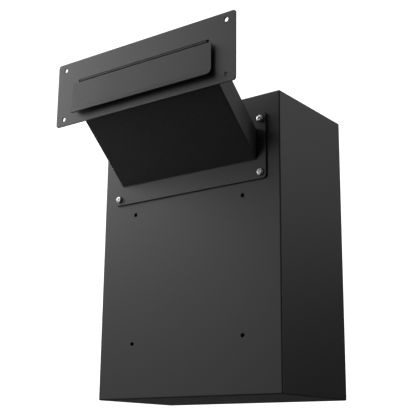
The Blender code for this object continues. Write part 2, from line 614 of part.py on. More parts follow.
def make_bolts():
    """Four cross-recessed pan-head screws through the flange and the wall panel, nuts inside."""
    head_y = FLANGE_FRONT_Y - CONTACT_GAP
    nut_y = WALL_FACE_Y + SHEET + CONTACT_GAP
    r = BOLT_HEAD_RADIUS
    h = BOLT_HEAD_HEIGHT
    profile = [(0.0, h), (r * 0.55, h * 0.97), (r * 0.82, h * 0.80), (r * 0.96, h * 0.52), (r, h * 0.15),
               (r, 0.0), (BOLT_RADIUS, 0.0), (BOLT_RADIUS, -BOLT_LENGTH), (0.0, -BOLT_LENGTH)]
    span = BOLT_RECESS_SPAN / 2
    thin = BOLT_RECESS_WIDTH / 2
    floor = h - BOLT_RECESS_DEPTH
    for number, (x, z) in enumerate(rectangle_corners(BOLT_SPACING_X, BOLT_SPACING_Z), 1):
        place = (x, head_y, CHUTE_FOOT_Z + z)
        bolt = turned("chute_bolt_%d" % number, profile, ZINC, place, TURN_TO_MINUS_Y, 20)
        for label, sx, sy in (("a", span, thin), ("b", thin, span)):
            recess = box_mesh("recess_%d%s" % (number, label), (-sx, -sy, floor), (sx, sy, h * 2))
            combine(bolt, cutter("recess_%d%s" % (number, label), recess, place, TURN_TO_MINUS_Y))
        hexagon_nut("chute_nut_%d" % number, NUT_ACROSS_FLATS, NUT_HEIGHT, BOLT_RADIUS + PIN_CLEARANCE,
                    ZINC, (x, nut_y, CHUTE_FOOT_Z + z), TURN_TO_Y)


def clipped_circle_prism(name, radius, flat, low, high, steps=24):
    """A round bar along local Z with two flats: a circle whose Y is limited to the flats."""
    bm = bmesh.new()
    angles = np.linspace(0, 2 * math.pi, steps, endpoint=False)
    outline = [(radius * math.cos(a), min(flat, max(-flat, radius * math.sin(a)))) for a in angles]
    bottom = bm.faces.new([bm.verts.new((x, y, low)) for x, y in outline])
    bottom.normal_flip()
    top = bmesh.ops.extrude_face_region(bm, geom=[bottom])["geom"]
    for vertex in (item for item in top if isinstance(item, bmesh.types.BMVert)):
        vertex.co.z = high
    bmesh.ops.recalc_face_normals(bm, faces=bm.faces)
    return mesh_of(bm, name)


def make_lock():
    """Cam lock through the door, drawn with the key in and the cam turned down, clear of the frame."""
    place = Vector((LOCK_X, 0, LOCK_HEIGHT))
    face = ROOM_FACE_Y + CONTACT_GAP
    back = PLUG_BACK_Y
    bore = LOCK_PLUG_RADIUS + LOCK_RUNNING_GAP
    ring = 0.8 * LOCK_HEAD_RADIUS
    barrel = [(bore, face + LOCK_HEAD_HEIGHT), (ring, face + LOCK_HEAD_HEIGHT),
              (LOCK_HEAD_RADIUS, face + LOCK_HEAD_HEIGHT * 0.5), (LOCK_HEAD_RADIUS, face),
              (LOCK_BODY_RADIUS, face), (LOCK_BODY_RADIUS, back), (bore, back)]
    turned("lock_barrel", barrel, CHROME, place, TURN_TO_Y)
    inside = ROOM_FACE_Y - SHEET - CONTACT_GAP
    hexagon_nut("lock_nut", LOCK_NUT_ACROSS_FLATS, LOCK_NUT_HEIGHT, LOCK_BODY_RADIUS + PIN_CLEARANCE,
                ZINC, place + Vector((0, inside - LOCK_NUT_HEIGHT, 0)), TURN_TO_Y)
    plug = turned("lock_plug", [(0.0, PLUG_FRONT_Y), (LOCK_PLUG_RADIUS, PLUG_FRONT_Y),
                                (LOCK_PLUG_RADIUS, back), (0.0, back)], CHROME, place, TURN_TO_Y)
    tail = clipped_circle_prism("plug_tail", TAIL_RADIUS, TAIL_FLAT, CAM_BACK_Y, back + CAM_THICKNESS)
    combine(plug, cutter("plug_tail", tail, place, TURN_TO_Y), "UNION")
    slot_depth = KEY_BLADE_LENGTH + 2 * CONTACT_GAP
    half_w = KEY_BLADE_WIDTH / 2 + KEY_CLEARANCE
    half_t = KEY_THICKNESS / 2 + KEY_CLEARANCE
    slot = box_mesh("keyway", (-half_w, PLUG_FRONT_Y - slot_depth, -half_t),
                    (half_w, PLUG_FRONT_Y + CUT_PAST, half_t))
    combine(plug, cutter("keyway", slot, place))
    make_cam(place)
    make_key(place)
    screw_y = CAM_BACK_Y - CONTACT_GAP
    turned("cam_screw", [(0.0, screw_y), (CAM_SCREW_RADIUS, screw_y),
                         (CAM_SCREW_RADIUS, screw_y - CAM_SCREW_HEIGHT * 0.6),
                         (CAM_SCREW_RADIUS * 0.7, screw_y - CAM_SCREW_HEIGHT),
                         (0.0, screw_y - CAM_SCREW_HEIGHT)], ZINC, place, TURN_TO_Y, 20)


def make_cam(place):
    """Flat bar with a round root on the plug's flats and a round tip, hanging down from the lock."""
    half = CAM_WIDTH / 2
    tip = half * 0.6
    root = [(half * math.cos(a), half * math.sin(a)) for a in np.linspace(0, math.pi, 13)]
    end = [(tip * math.cos(a), -(CAM_REACH - tip) + tip * math.sin(a))
           for a in np.linspace(math.pi, 2 * math.pi, 9)]
    bm = bmesh.new()
    plate = bm.faces.new([bm.verts.new((x, CAM_BACK_Y, z)) for x, z in root + end])
    grown = bmesh.ops.extrude_face_region(bm, geom=[plate])["geom"]
    for vertex in (item for item in grown if isinstance(item, bmesh.types.BMVert)):
        vertex.co.y = CAM_FRONT_Y
    bmesh.ops.recalc_face_normals(bm, faces=bm.faces)
    cam = part("lock_cam", mesh_of(bm, "lock_cam"), ZINC, place)
    hole = clipped_circle_prism("cam_hole", TAIL_RADIUS + KEY_CLEARANCE, TAIL_FLAT + KEY_CLEARANCE,
                                CAM_BACK_Y - CUT_PAST, CAM_FRONT_Y + CUT_PAST)
    combine(cam, cutter("cam_hole", hole, place, TURN_TO_Y))


def make_key(place):
    """Flat key: notched blade in the plug, neck and round bow with a hole."""
    half = KEY_BLADE_WIDTH / 2
    tip_y = PLUG_FRONT_Y - KEY_BLADE_LENGTH
    neck_y = PLUG_FRONT_Y + KEY_NECK_LENGTH
    pitch = KEY_BLADE_LENGTH / (KEY_NOTCHES + 1)
    outline = [(-half * 0.5, tip_y), (half * 0.5, tip_y)]
    for index in range(KEY_NOTCHES):
        middle = tip_y + (index + 0.75) * pitch
        outline += [(half, middle - pitch * 0.35), (half - KEY_NOTCH_DEPTH, middle),
                    (half, middle + pitch * 0.35)]
    bow_y = neck_y + math.sqrt(KEY_BOW_RADIUS ** 2 - half ** 2)
    start = math.asin(half / KEY_BOW_RADIUS)
    angles = np.linspace(start, 2 * math.pi - start, 25)
    outline += [(KEY_BOW_RADIUS * math.sin(a), bow_y - KEY_BOW_RADIUS * math.cos(a)) for a in angles]
    outline += [(-half, tip_y + half * 0.5)]
    bm = bmesh.new()
    lower = bm.faces.new([bm.verts.new((x, y, -KEY_THICKNESS / 2)) for x, y in outline])
    grown = bmesh.ops.extrude_face_region(bm, geom=[lower])["geom"]
    for vertex in (item for item in grown if isinstance(item, bmesh.types.BMVert)):
        vertex.co.z = KEY_THICKNESS / 2
    bmesh.ops.recalc_face_normals(bm, faces=bm.faces)
    key = part("key", mesh_of(bm, "key"), BRASS, place)
    hole_y = bow_y + KEY_BOW_RADIUS * 0.5
    hole = cylinders_mesh("key_hole", KEY_BOW_HOLE_RADIUS, CUT_PAST, [(0, hole_y, 0)], 16)
    combine(key, cutter("key_hole", hole, place))


def axis_empty(name, location, turn=None):
    """A marker on a joint's axis."""
    empty = bpy.data.objects.new(name, None)
    empty.empty_display_type = "ARROWS"
    empty.empty_display_size = 2 * CUT_PAST
    empty.matrix_world = Matrix.Translation(Vector(location)) @ (turn or Matrix())
    PARTS.objects.link(empty)
    return empty


def hang_moving_pieces():
    """Each group that moves together hangs on an empty on its joint's axis.

    The chute slides along its empty's local Y, the flap turns about X, the door about Z, and the lock
    turns about Y and lets the key out along Y.
    """
    lock_place = (LOCK_X, DOOR_PIN_Y, LOCK_HEIGHT)
    slide = axis_empty("chute_slide_axis", (0, MOUTH_FACE_Y, CHUTE_MOUTH_Z),
                       Matrix.Rotation(-SLOPE_ANGLE, 4, "X"))
    flap = axis_empty("flap_hinge_axis", (0, FLAP_PIN_Y, FLAP_PIN_Z))
    door = axis_empty("door_hinge_axis", (DOOR_PIN_X, DOOR_PIN_Y, DOOR_MIDDLE_Z))
    lock = axis_empty("lock_turn_axis", lock_place)
    key = axis_empty("key_slide_axis", lock_place)
    for empty, leader in ((flap, slide), (lock, door), (key, lock)):
        follow(empty, leader)
    groups = (
        (slide, ("chute_sleeve_upper", "faceplate", "flap_bumper_left", "flap_bumper_right",
                 "flap_hinge_fixed_leaf", "flap_hinge_pin")),
        (flap, ("flap", "flap_hinge_moving_leaf")),
        (door, ("door_panel", "door_stiffener", "door_hinge_door_leaf", "lock_barrel", "lock_nut")),
        (lock, ("lock_plug", "lock_cam", "cam_screw")),
        (key, ("key",)),
    )
    for empty, names in groups:
        for name in names:
            follow(PARTS.objects[name], empty)


make_body_shell()
make_flange()
make_chute()
make_bolts()
make_faceplate()
make_flap_bumpers()
make_flap()
make_flap_hinge()
make_door()
make_stiffener()
make_door_hinge()
make_lock()
hang_moving_pieces()
bpy.context.view_layer.update()
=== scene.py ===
"""Looks of a through-the-wall parcel drop box: folded and powder-coated steel, a sloping chute, an
outdoor faceplate with a hinged flap, and a locked door on the room side.

Metres, +Z up. -Y is the outdoor side and +Y the room side.
"""
import json
import math

import bmesh
import bpy
import numpy as np
from bpy.props import FloatProperty, FloatVectorProperty, PointerProperty
from mathutils import Matrix, Vector
from mathutils.geometry import delaunay_2d_cdt


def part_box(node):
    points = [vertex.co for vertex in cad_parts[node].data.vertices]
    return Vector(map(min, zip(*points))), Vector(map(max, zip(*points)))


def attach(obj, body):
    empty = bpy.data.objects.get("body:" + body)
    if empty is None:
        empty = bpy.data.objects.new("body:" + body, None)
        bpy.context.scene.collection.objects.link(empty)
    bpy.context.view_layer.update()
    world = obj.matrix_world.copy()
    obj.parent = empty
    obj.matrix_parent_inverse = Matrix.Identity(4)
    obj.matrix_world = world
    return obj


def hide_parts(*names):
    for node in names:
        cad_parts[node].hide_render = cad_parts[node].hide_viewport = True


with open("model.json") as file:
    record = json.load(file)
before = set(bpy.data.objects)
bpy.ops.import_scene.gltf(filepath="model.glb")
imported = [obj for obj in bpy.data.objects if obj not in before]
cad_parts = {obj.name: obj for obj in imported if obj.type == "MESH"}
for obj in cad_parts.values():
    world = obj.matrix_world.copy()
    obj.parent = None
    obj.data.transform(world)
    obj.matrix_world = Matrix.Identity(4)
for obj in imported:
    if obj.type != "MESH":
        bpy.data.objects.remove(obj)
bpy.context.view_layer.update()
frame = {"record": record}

bl_info = {
    "name": "Parcel Drop Box",
    "version": (1, 0, 0),
    "blender": (4, 5, 0),
    "location": "View3D > Sidebar > Drop Box",
    "description": "Builds the visible pieces, finishes and studio of a through-the-wall drop box",
    "category": "Object",
}

BODY_OF = frame["record"]["behaviour"]["bodies"]
JOINTS = {row["name"]: row for row in frame["record"]["behaviour"]["joints"]}

ONE_MICRON = 1e-6
PAN_SEAM = 2 * ONE_MICRON   # between a pan's flat face and its folded edge
FINE_ROUND = 0.0003          # rounding under a screw's head and inside a nut's hole
ARC_STEPS = 6                # segments in a quarter turn of a pan's, sleeve's or square hole's corner
PLATE_ARC_STEPS = 10         # the same for the larger corners of a flange, plate or flap
EDGE_STEPS = 3               # segments across a rounded cut edge
KNUCKLES = {"flap": 12, "door": 14}
LEAF_WIDTH = {"flap": 0.012, "door": 0.013}
CURL_STEPS = 37
FLAP_FOLD = 0.0022
CHANNEL_FOLD = 0.0018
THREAD_DEPTH, THREAD_PITCH = 0.00035, 0.0008
TIP_BEVEL = 0.0004
SKIRT_SHARE = 0.30           # upright part of a pan head's height
CAM_RECESS = (0.0048, 0.0010, 0.0009)
PLUG_BEVEL, CAM_EDGE, KEY_EDGE = 0.0002, 0.0002, 0.00018
CAM_PLAY = 0.00015           # round the plug's tail in the cam's hole
CASING_MOUTH = ((0.0, 0.0008), (0.0001, 0.0003), (0.0006, 0.0))   # wider than the bore, below the face
CASING_FLAT, CASING_BEVEL, CASING_ROUND = 0.80, 0.0013, 0.00008   # flat share of the head, and its edge
BUMPER_SHARES, BUMPER_ROUND = (0.62, 0.45), 0.0004                # flat share across, skirt's share up
RECESS_WALL, KEYWAY_WALL = 0.00018, 0.00012                       # slope of a recess's and the slot's walls
NUT_FACE = 0.95              # share of the flats' half width inside the chamfer
KEY_RING_HOLE = 0.0025
KEY_NOTCH, KEY_NOTCHES = 0.0011, 5
FLOOR_REACH = 6.0
LIGHTS_AIM = (0.0, -0.05, 0.22)
# Softboxes round the object: place, side and power in watts
SOFTBOXES = {
    "left_high": ((-1.7, -0.6, 1.2), 1.0, 27.0),
    "front_left_high": ((-1.1, -1.3, 1.1), 0.8, 3.2),
    "front_left_low": ((-1.2, -1.5, 0.3), 1.2, 4.8),
    "top_front": ((-0.2, -1.0, 1.7), 1.2, 8.5),
    "left_room_side": ((-1.5, 1.3, 0.8), 1.4, 62.0),
    "right": ((2.0, 0.4, 0.7), 1.4, 7.6),
    "right_room_side": ((1.5, 1.4, 1.3), 1.5, 7.0),
    "below_left": ((-0.9, -0.2, -0.42), 0.8, 1.0),
}


def body_of(node):
    """The moving body that a node belongs to."""
    return next(body for body, nodes in BODY_OF.items() if node in nodes)


def span(node):
    """A node's lowest and highest corners, as arrays."""
    low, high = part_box(node)
    return np.array(low), np.array(high)


def halves(low, high):
    """Half the width, half the height and the middle height between two corners."""
    return (high[0] - low[0]) / 2, (high[2] - low[2]) / 2, (high[2] + low[2]) / 2


# ---------------------------------------------------------------------------------------------
# Curves and surfaces
# ---------------------------------------------------------------------------------------------

def full_turn(count):
    """Angles evenly round a full turn."""
    return np.arange(count) * 2 * math.pi / count


def circle(radius, count=48, centre=(0.0, 0.0)):
    """Points on a circle, anticlockwise: centre plus radius times the cosine and sine of the angle."""
    angle = full_turn(count)
    return np.column_stack([centre[0] + radius * np.cos(angle), centre[1] + radius * np.sin(angle)])


def rounded_rectangle(half_x, half_z, radius, steps=ARC_STEPS):
    """A rectangle whose corners are quarter circles, anticlockwise from the right side's upper end.

    Each corner's points are the corner circle's centre plus its radius times cosine and sine over a
    quarter turn. A radius of 0 keeps the same number of points, all at the corner.
    """
    radius = max(radius, 0.0)
    quarter = np.linspace(0, math.pi / 2, steps + 1)
    parts = []
    for turn, (side, end) in enumerate(((1, 1), (-1, 1), (-1, -1), (1, -1))):
        angle = quarter + turn * math.pi / 2
        parts.append(np.column_stack([side * (half_x - radius) + radius * np.cos(angle),
                                      end * (half_z - radius) + radius * np.sin(angle)]))
    return np.vstack(parts)


def outline_normals(points):
    """Outward unit normals of a closed anticlockwise outline, from each point's two neighbours."""
    along = np.roll(points, -1, axis=0) - np.roll(points, 1, axis=0)
    normal = np.column_stack([along[:, 1], -along[:, 0]])
    return normal / np.maximum(np.linalg.norm(normal, axis=1, keepdims=True), 1e-12)


def folded_path(corners, radius, steps=5):
    """An open path through the corners, each inner corner replaced by an arc of the given radius.

    At a corner the arc starts and ends where a circle of that radius touches the two straight runs.
    """
    corners = np.asarray(corners, float)
    points = [corners[0]]
    for before, corner, after in zip(corners[:-2], corners[1:-1], corners[2:]):
        back = (before - corner) / np.linalg.norm(before - corner)
        on = (after - corner) / np.linalg.norm(after - corner)
        half = 0.5 * math.acos(float(np.clip(back @ on, -1, 1)))
        centre = corner + (back + on) / np.linalg.norm(back + on) * radius / math.sin(half)
        start = corner + back * radius / math.tan(half) - centre
        end = corner + on * radius / math.tan(half) - centre
        sweep = math.acos(float(np.clip(start @ end / radius ** 2, -1, 1)))
        for share in np.linspace(0, 1, steps + 1):
            points.append(centre + (math.sin((1 - share) * sweep) * start
                                    + math.sin(share * sweep) * end) / math.sin(sweep))
    points.append(corners[-1])
    return np.array(points)


def offset_path(path, distance):
    """An open path moved to its left by a distance, mitred where it bends."""
    step = np.diff(path, axis=0)
    step /= np.linalg.norm(step, axis=1, keepdims=True)
    left = np.column_stack([-step[:, 1], step[:, 0]])
    first = np.vstack([left[:1], left])
    last = np.vstack([left, left[-1:]])
    mean = first + last
    mean /= np.linalg.norm(mean, axis=1, keepdims=True)
    stretch = 1 / np.clip(np.sum(mean * first, axis=1, keepdims=True), 0.3, 1)
    return path + mean * stretch * distance


def strip_section(path, thickness, steps=4):
    """The outline of a sheet seen end on: its outer path, a half-round edge, and the path back.

    The edge is a half circle of the sheet's thickness across.
    """
    inner = offset_path(path, thickness)
    centre = (path[-1] + inner[-1]) / 2
    arm = path[-1] - centre
    ahead = path[-1] - path[-2]
    ahead *= np.linalg.norm(arm) / np.linalg.norm(ahead)
    angle = np.linspace(0, math.pi, steps * 2 + 1)[1:-1, None]
    return np.vstack([path, centre + arm * np.cos(angle) + ahead * np.sin(angle), inner[::-1]])


class Surface:
    """Vertices and faces gathered from whole arrays."""

    def __init__(self):
        self.points = []
        self.faces = []
        self.count = 0

    def add(self, points, faces):
        """Adds points (n, 3) and a list of index arrays that refer to them."""
        self.points.append(np.asarray(points, float))
        self.faces += [np.asarray(group) + self.count for group in faces]
        self.count += len(points)

    def grid(self, points, wrap_rows=False, wrap_columns=False, keep=None):
        """Adds a (rows, columns, 3) grid as quads; keep is a (rows, columns) mask of quads."""
        rows, columns = points.shape[:2]
        row = np.arange(rows if wrap_rows else rows - 1)
        column = np.arange(columns if wrap_columns else columns - 1)
        r, c = np.meshgrid(row, column, indexing="ij")
        r1 = (r + 1) % rows
        c1 = (c + 1) % columns
        quads = np.stack([r * columns + c, r * columns + c1, r1 * columns + c1, r1 * columns + c], -1)
        quads = quads.reshape(-1, 4) if keep is None else quads[keep]
        self.add(points.reshape(-1, 3), [quads])

    def cap(self, outlines, lift):
        """Fills the space between closed outlines; lift turns (n, 2) points into (n, 3) ones.

        The triangles are the constrained triangulation's, kept where a triangle's middle lies inside
        an odd number of outlines.
        """
        flat = np.vstack(outlines)
        edges = []
        start = 0
        for outline in outlines:
            index = np.arange(len(outline))
            edges += list(zip(start + index, start + (index + 1) % len(outline)))
            start += len(outline)
        edges = [(int(a), int(b)) for a, b in edges]
        found = delaunay_2d_cdt([Vector(p) for p in flat], edges, [], 0, 1e-9)
        points = np.array([tuple(p) for p in found[0]])
        triangles = np.array([tuple(f) for f in found[2]])
        middle = points[triangles].mean(axis=1)
        inside = np.zeros(len(middle), bool)
        for outline in outlines:
            inside ^= contains(outline, middle)
        self.add(lift(points), [triangles[inside]])


def contains(outline, points):
    """Whether each point lies inside a closed outline, by the parity of the crossings of a ray."""
    a = outline[:, None]
    b = np.roll(outline, -1, axis=0)[:, None]
    crosses = (a[..., 1] > points[:, 1]) != (b[..., 1] > points[:, 1])
    rise = np.where(crosses, b[..., 1] - a[..., 1], 1.0)
    at = a[..., 0] + (points[:, 1] - a[..., 1]) / rise * (b[..., 0] - a[..., 0])
    return np.sum(crosses & (points[:, 0] < at), axis=0) % 2 == 1


def make_piece(name, surface, source, material, outward=True, flat_faces=True):
    """Turns a surface into a piece that stands for a source node, on that node's body.

    Points that coincide are merged, and with outward the faces are recalculated to point outwards.
    With flat_faces, large faces keep their own normals, so that only folds and edges shade smoothly.
    """
    mesh = bpy.data.meshes.new(name)
    points = np.vstack(surface.points)
    groups = [group for group in surface.faces if len(group)]
    loops = np.concatenate([group.ravel() for group in groups])
    sizes = np.concatenate([np.full(len(group), group.shape[1]) for group in groups])
    starts = np.concatenate([[0], np.cumsum(sizes)[:-1]])
    mesh.vertices.add(len(points))
    mesh.vertices.foreach_set("co", points.ravel())
    mesh.loops.add(len(loops))
    mesh.loops.foreach_set("vertex_index", loops)
    mesh.polygons.add(len(sizes))
    mesh.polygons.foreach_set("loop_start", starts)
    mesh.update(calc_edges=True)
    bm = bmesh.new()
    bm.from_mesh(mesh)
    bmesh.ops.remove_doubles(bm, verts=bm.verts, dist=ONE_MICRON)
    if outward:
        bmesh.ops.recalc_face_normals(bm, faces=bm.faces)
    bmesh.ops.delete(bm, geom=[v for v in bm.verts if not v.link_faces], context="VERTS")
    bm.to_mesh(mesh)
    bm.free()
    mesh.validate()
    mesh.shade_smooth()
    piece = bpy.data.objects.new(name, mesh)
    bpy.context.scene.collection.objects.link(piece)
    mesh.materials.append(material)
    if flat_faces:
        favour_flat_faces(piece)
    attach(piece, body_of(source))
    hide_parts(source)
    return piece


def favour_flat_faces(piece):
    """Lets large faces decide the normals along their borders."""
    weighted = piece.modifiers.new("flat faces", "WEIGHTED_NORMAL")
    weighted.weight = 80
    weighted.keep_sharp = True


def upright(y, centre=(0.0, 0.0)):
    """Puts flat (across, up) points on the upright plane at y."""
    return lambda flat: np.insert(flat + centre, 1, y, axis=1)


def lying(z, centre=(0.0, 0.0)):
    """Puts flat (across, along Y) points on the level plane at z."""
    return lambda flat: np.insert(flat + centre, 2, z, axis=1)


def rim_profile(edge, near, far, steps=EDGE_STEPS):
    """A cut edge's insets and depths: a quarter circle, the straight wall and a second quarter circle."""
    quarter = np.linspace(0, math.pi / 2, steps + 1)
    inset = edge * (1 - np.sin(quarter))
    rise = edge * (1 - np.cos(quarter)) * math.copysign(1.0, far - near)
    return np.append(inset, inset[::-1]), np.append(near + rise, (far - rise)[::-1])


def rims(surface, outlines, place, near, far, edge):
    """Carries a rounded cut edge round each outline, between two planes."""
    for outline in outlines:
        rows = [place(depth)(outline(inset)) for inset, depth in zip(*rim_profile(edge, near, far))]
        surface.grid(np.array(rows), wrap_columns=True)


def grid_piece(name, source, finish_name, points, outward=True, flat_faces=True, **grid):
    """A piece made of a single grid of points."""
    surface = Surface()
    surface.grid(points, **grid)
    return make_piece(name, surface, source, finish(finish_name), outward, flat_faces)


def slab(name, source, finish_name, outlines, place, near, far, edge):
    """A flat plate between two planes with rounded edges round its outline and its holes.

    outlines are functions of an inset, which is measured into the material, so a hole grows with it.
    place(depth) gives the lift for a plane.
    """
    surface = Surface()
    rims(surface, outlines, place, near, far, edge)
    for depth in (near, far):
        surface.cap([outline(edge) for outline in outlines], place(depth))
    return make_piece(name, surface, source, finish(finish_name))


def polar(lift, radius, angle, level):
    """Points at a radius and an angle about a turned piece's axis, at a level along it."""
    return lift(radius * np.cos(angle), radius * np.sin(angle), level)


def turned_grid(profile, count, lift):
    """A profile of (radius, height) points spun about its axis: radius times cosine and sine, height kept."""
    profile = np.asarray(profile, float)
    return polar(lift, profile[:, :1], full_turn(count), np.repeat(profile[:, 1:], count, axis=1))


def pole(row):
    """A closed row of points all moved to their middle."""
    return row.mean(axis=1, keepdims=True) + 0 * row


def along_y(centre, sign=1.0):
    """Maps a turned piece's own axes so that its height runs along Y, towards +Y or -Y."""
    def lift(across, up, high):
        return np.stack([centre[0] + across, centre[1] + sign * high, centre[2] + up], -1)
    return lift


# ---------------------------------------------------------------------------------------------
# Finishes
# ---------------------------------------------------------------------------------------------

def new_group(name, inputs, outputs):
    """An empty shader node group with inputs (name, type, default) and outputs (name, type)."""
    tree = bpy.data.node_groups.new(name, "ShaderNodeTree")
    for label, kind, value in inputs:
        socket = tree.interface.new_socket(label, in_out="INPUT", socket_type=kind)
        if value is not None:
            socket.default_value = value
    for label, kind in outputs:
        tree.interface.new_socket(label, in_out="OUTPUT", socket_type=kind)
    ends = tree.nodes.new("NodeGroupInput"), tree.nodes.new("NodeGroupOutput")
    return tree, ends[0].outputs, ends[1].inputs


def node(tree, kind, inputs={}, **properties):
    """Adds a node with its properties; each input is a value, or a socket to link from."""
    made = tree.nodes.new(kind)
    for label, value in properties.items():
        setattr(made, label, value)
    for label, value in inputs.items():
        socket = made.inputs[label]
        if isinstance(value, bpy.types.NodeSocket):
            tree.links.new(value, socket)
        else:
            socket.default_value = value
    return made


def maths(tree, operation, first, second):
    """One Math node between two values or sockets."""
    return node(tree, "ShaderNodeMath", {0: first, 1: second}, operation=operation).outputs[0]


def add(tree, base, value, factor):
    """The base plus the factor times the value."""
    return maths(tree, "ADD", base, maths(tree, "MULTIPLY", value, factor))


def spread(tree, value, low, high):
    """Maps a range of a value to 0 and 1, held at both ends."""
    return node(tree, "ShaderNodeMapRange", {"Value": value, "From Min": low, "From Max": high},
                clamp=True).outputs[0]


def noise(tree, vector, scale, detail=3.0, roughness=0.5):
    """Smooth random grey, the scale in features per metre."""
    return node(tree, "ShaderNodeTexNoise", {"Vector": vector, "Scale": scale, "Detail": detail,
                                             "Roughness": roughness}).outputs["Fac"]


VECTOR, NUMBER = "NodeSocketVector", "NodeSocketFloat"


def coat_grain_group():
    """Powder coat's pimpled skin: fine round beads over a slower orange-peel swell."""
    tree, inside, out = new_group(
        "coat_grain",
        [("Vector", VECTOR, None), ("Bead Size", NUMBER, 0.0005), ("Swell Size", NUMBER, 0.003)],
        [("Height", NUMBER), ("Speckle", NUMBER)])
    bead_scale = maths(tree, "DIVIDE", 1.0, inside["Bead Size"])
    swell_scale = maths(tree, "DIVIDE", 1.0, inside["Swell Size"])
    beads = node(tree, "ShaderNodeTexVoronoi", {"Vector": inside["Vector"], "Scale": bead_scale,
                                                "Smoothness": 0.6, "Randomness": 0.9},
                 feature="SMOOTH_F1").outputs["Distance"]
    domes = maths(tree, "SUBTRACT", 1.0, beads)
    fine = noise(tree, inside["Vector"], maths(tree, "MULTIPLY", bead_scale, 1.7), 2.0)
    swell = noise(tree, inside["Vector"], swell_scale, 2.0)
    height = add(tree, maths(tree, "MULTIPLY", domes, 0.55), swell, 1.8)
    tree.links.new(add(tree, height, fine, 0.5), out["Height"])
    grey = add(tree, maths(tree, "MULTIPLY", fine, 0.5), swell, 0.5)
    tree.links.new(spread(tree, grey, 0.40, 0.62), out["Speckle"])
    return tree


def handling_group():
    """Where hands and dust have been: broad soft patches and a fine settled dust on faces that look up."""
    tree, inside, out = new_group(
        "handling", [("Vector", VECTOR, None), ("Patch Size", NUMBER, 0.12)],
        [("Patches", NUMBER), ("Dust", NUMBER)])
    scale = maths(tree, "DIVIDE", 1.0, inside["Patch Size"])
    patches = noise(tree, inside["Vector"], scale, 4.0, 0.6)
    tree.links.new(spread(tree, patches, 0.35, 0.68), out["Patches"])
    normal = node(tree, "ShaderNodeNewGeometry").outputs["Normal"]
    up = node(tree, "ShaderNodeSeparateXYZ", {0: normal}).outputs["Z"]
    flat = spread(tree, up, 0.55, 1.0)
    motes = spread(tree, noise(tree, inside["Vector"], maths(tree, "MULTIPLY", scale, 60.0)), 0.40, 0.75)
    tree.links.new(maths(tree, "MULTIPLY", flat, motes), out["Dust"])
    return tree


def drawn_metal_group():
    """Plated metal: fine lines stretched along one direction, and a cloudy passivation tint."""
    tree, inside, out = new_group(
        "drawn_metal",
        [("Vector", VECTOR, None), ("Line Size", NUMBER, 0.00015), ("Cloud Size", NUMBER, 0.003)],
        [("Lines", NUMBER), ("Cloud", NUMBER)])
    stretched = node(tree, "ShaderNodeMapping",
                     {"Vector": inside["Vector"], "Scale": (1.0, 0.04, 1.0)}).outputs[0]
    lines = noise(tree, stretched, maths(tree, "DIVIDE", 1.0, inside["Line Size"]), 2.0)
    cloud = noise(tree, inside["Vector"], maths(tree, "DIVIDE", 1.0, inside["Cloud Size"]))
    tree.links.new(spread(tree, lines, 0.3, 0.7), out["Lines"])
    tree.links.new(spread(tree, cloud, 0.35, 0.65), out["Cloud"])
    return tree


def shared_groups():
    """Builds each shared effect once and hands it back by name afterwards."""
    makers = {"coat_grain": coat_grain_group, "handling": handling_group, "drawn_metal": drawn_metal_group}
    return {name: bpy.data.node_groups.get(name) or make() for name, make in makers.items()}


def effect(tree, name, vector, **inputs):
    """Places a shared effect in a material with its own sizes."""
    made = tree.nodes.new("ShaderNodeGroup")
    made.node_tree = shared_groups()[name]
    tree.links.new(vector, made.inputs["Vector"])
    for label, value in inputs.items():
        made.inputs[label.replace("_", " ")].default_value = value
    return made.outputs


def start_material(name, **constants):
    """A material with its shader and its Object coordinates; constants go on the shader's sockets."""
    made = bpy.data.materials.new(name)
    made.use_nodes = True
    tree = made.node_tree
    shader = tree.nodes["Principled BSDF"]
    for label, value in constants.items():
        shader.inputs[label.replace("_", " ")].default_value = value
    vector = node(tree, "ShaderNodeTexCoord").outputs["Object"]
    return made, tree, shader, vector


def tint(tree, mask, under, over):
    """A colour between two, by a mask; each is a plain colour, or a socket to link from."""
    plain = {label: value if isinstance(value, bpy.types.NodeSocket) else (*value, 1.0)
             for label, value in ((6, under), (7, over))}
    return node(tree, "ShaderNodeMix", {0: mask, **plain}, data_type="RGBA", clamp_factor=True).outputs[2]


def bump(tree, shader, height, distance):
    """Raises the surface by a height map; distance is the height of a full step, in metres."""
    made = node(tree, "ShaderNodeBump", {"Height": height, "Distance": distance, "Strength": 1.0})
    tree.links.new(made.outputs[0], shader.inputs["Normal"])


def powder_coat(name, colour, look, shade=1.0, sheen=1.0):
    """Matt powder coat: pimpled skin, faintly uneven sheen and a little dust on top."""
    made, tree, shader, vector = start_material(name, Metallic=0.0, IOR=1.5,
                                                Specular_IOR_Level=look.coat_specular * sheen)
    grain = effect(tree, "coat_grain", vector, Bead_Size=look.bead_size, Swell_Size=look.bead_size * 7)
    hands = effect(tree, "handling", vector)
    dark = tuple(c * shade * 0.72 for c in colour)
    light = tuple(c * shade * 1.28 for c in colour)
    colours = tint(tree, grain["Speckle"], dark, light)
    colours = tint(tree, maths(tree, "MULTIPLY", hands["Dust"], 0.10), colours, (0.16, 0.155, 0.15))
    tree.links.new(colours, shader.inputs["Base Color"])
    rough = add(tree, look.coat_roughness - 0.03, hands["Patches"], 0.06)
    rough = add(tree, rough, grain["Speckle"], 0.06)
    tree.links.new(rough, shader.inputs["Roughness"])
    bump(tree, shader, grain["Height"], look.bead_height)
    return made


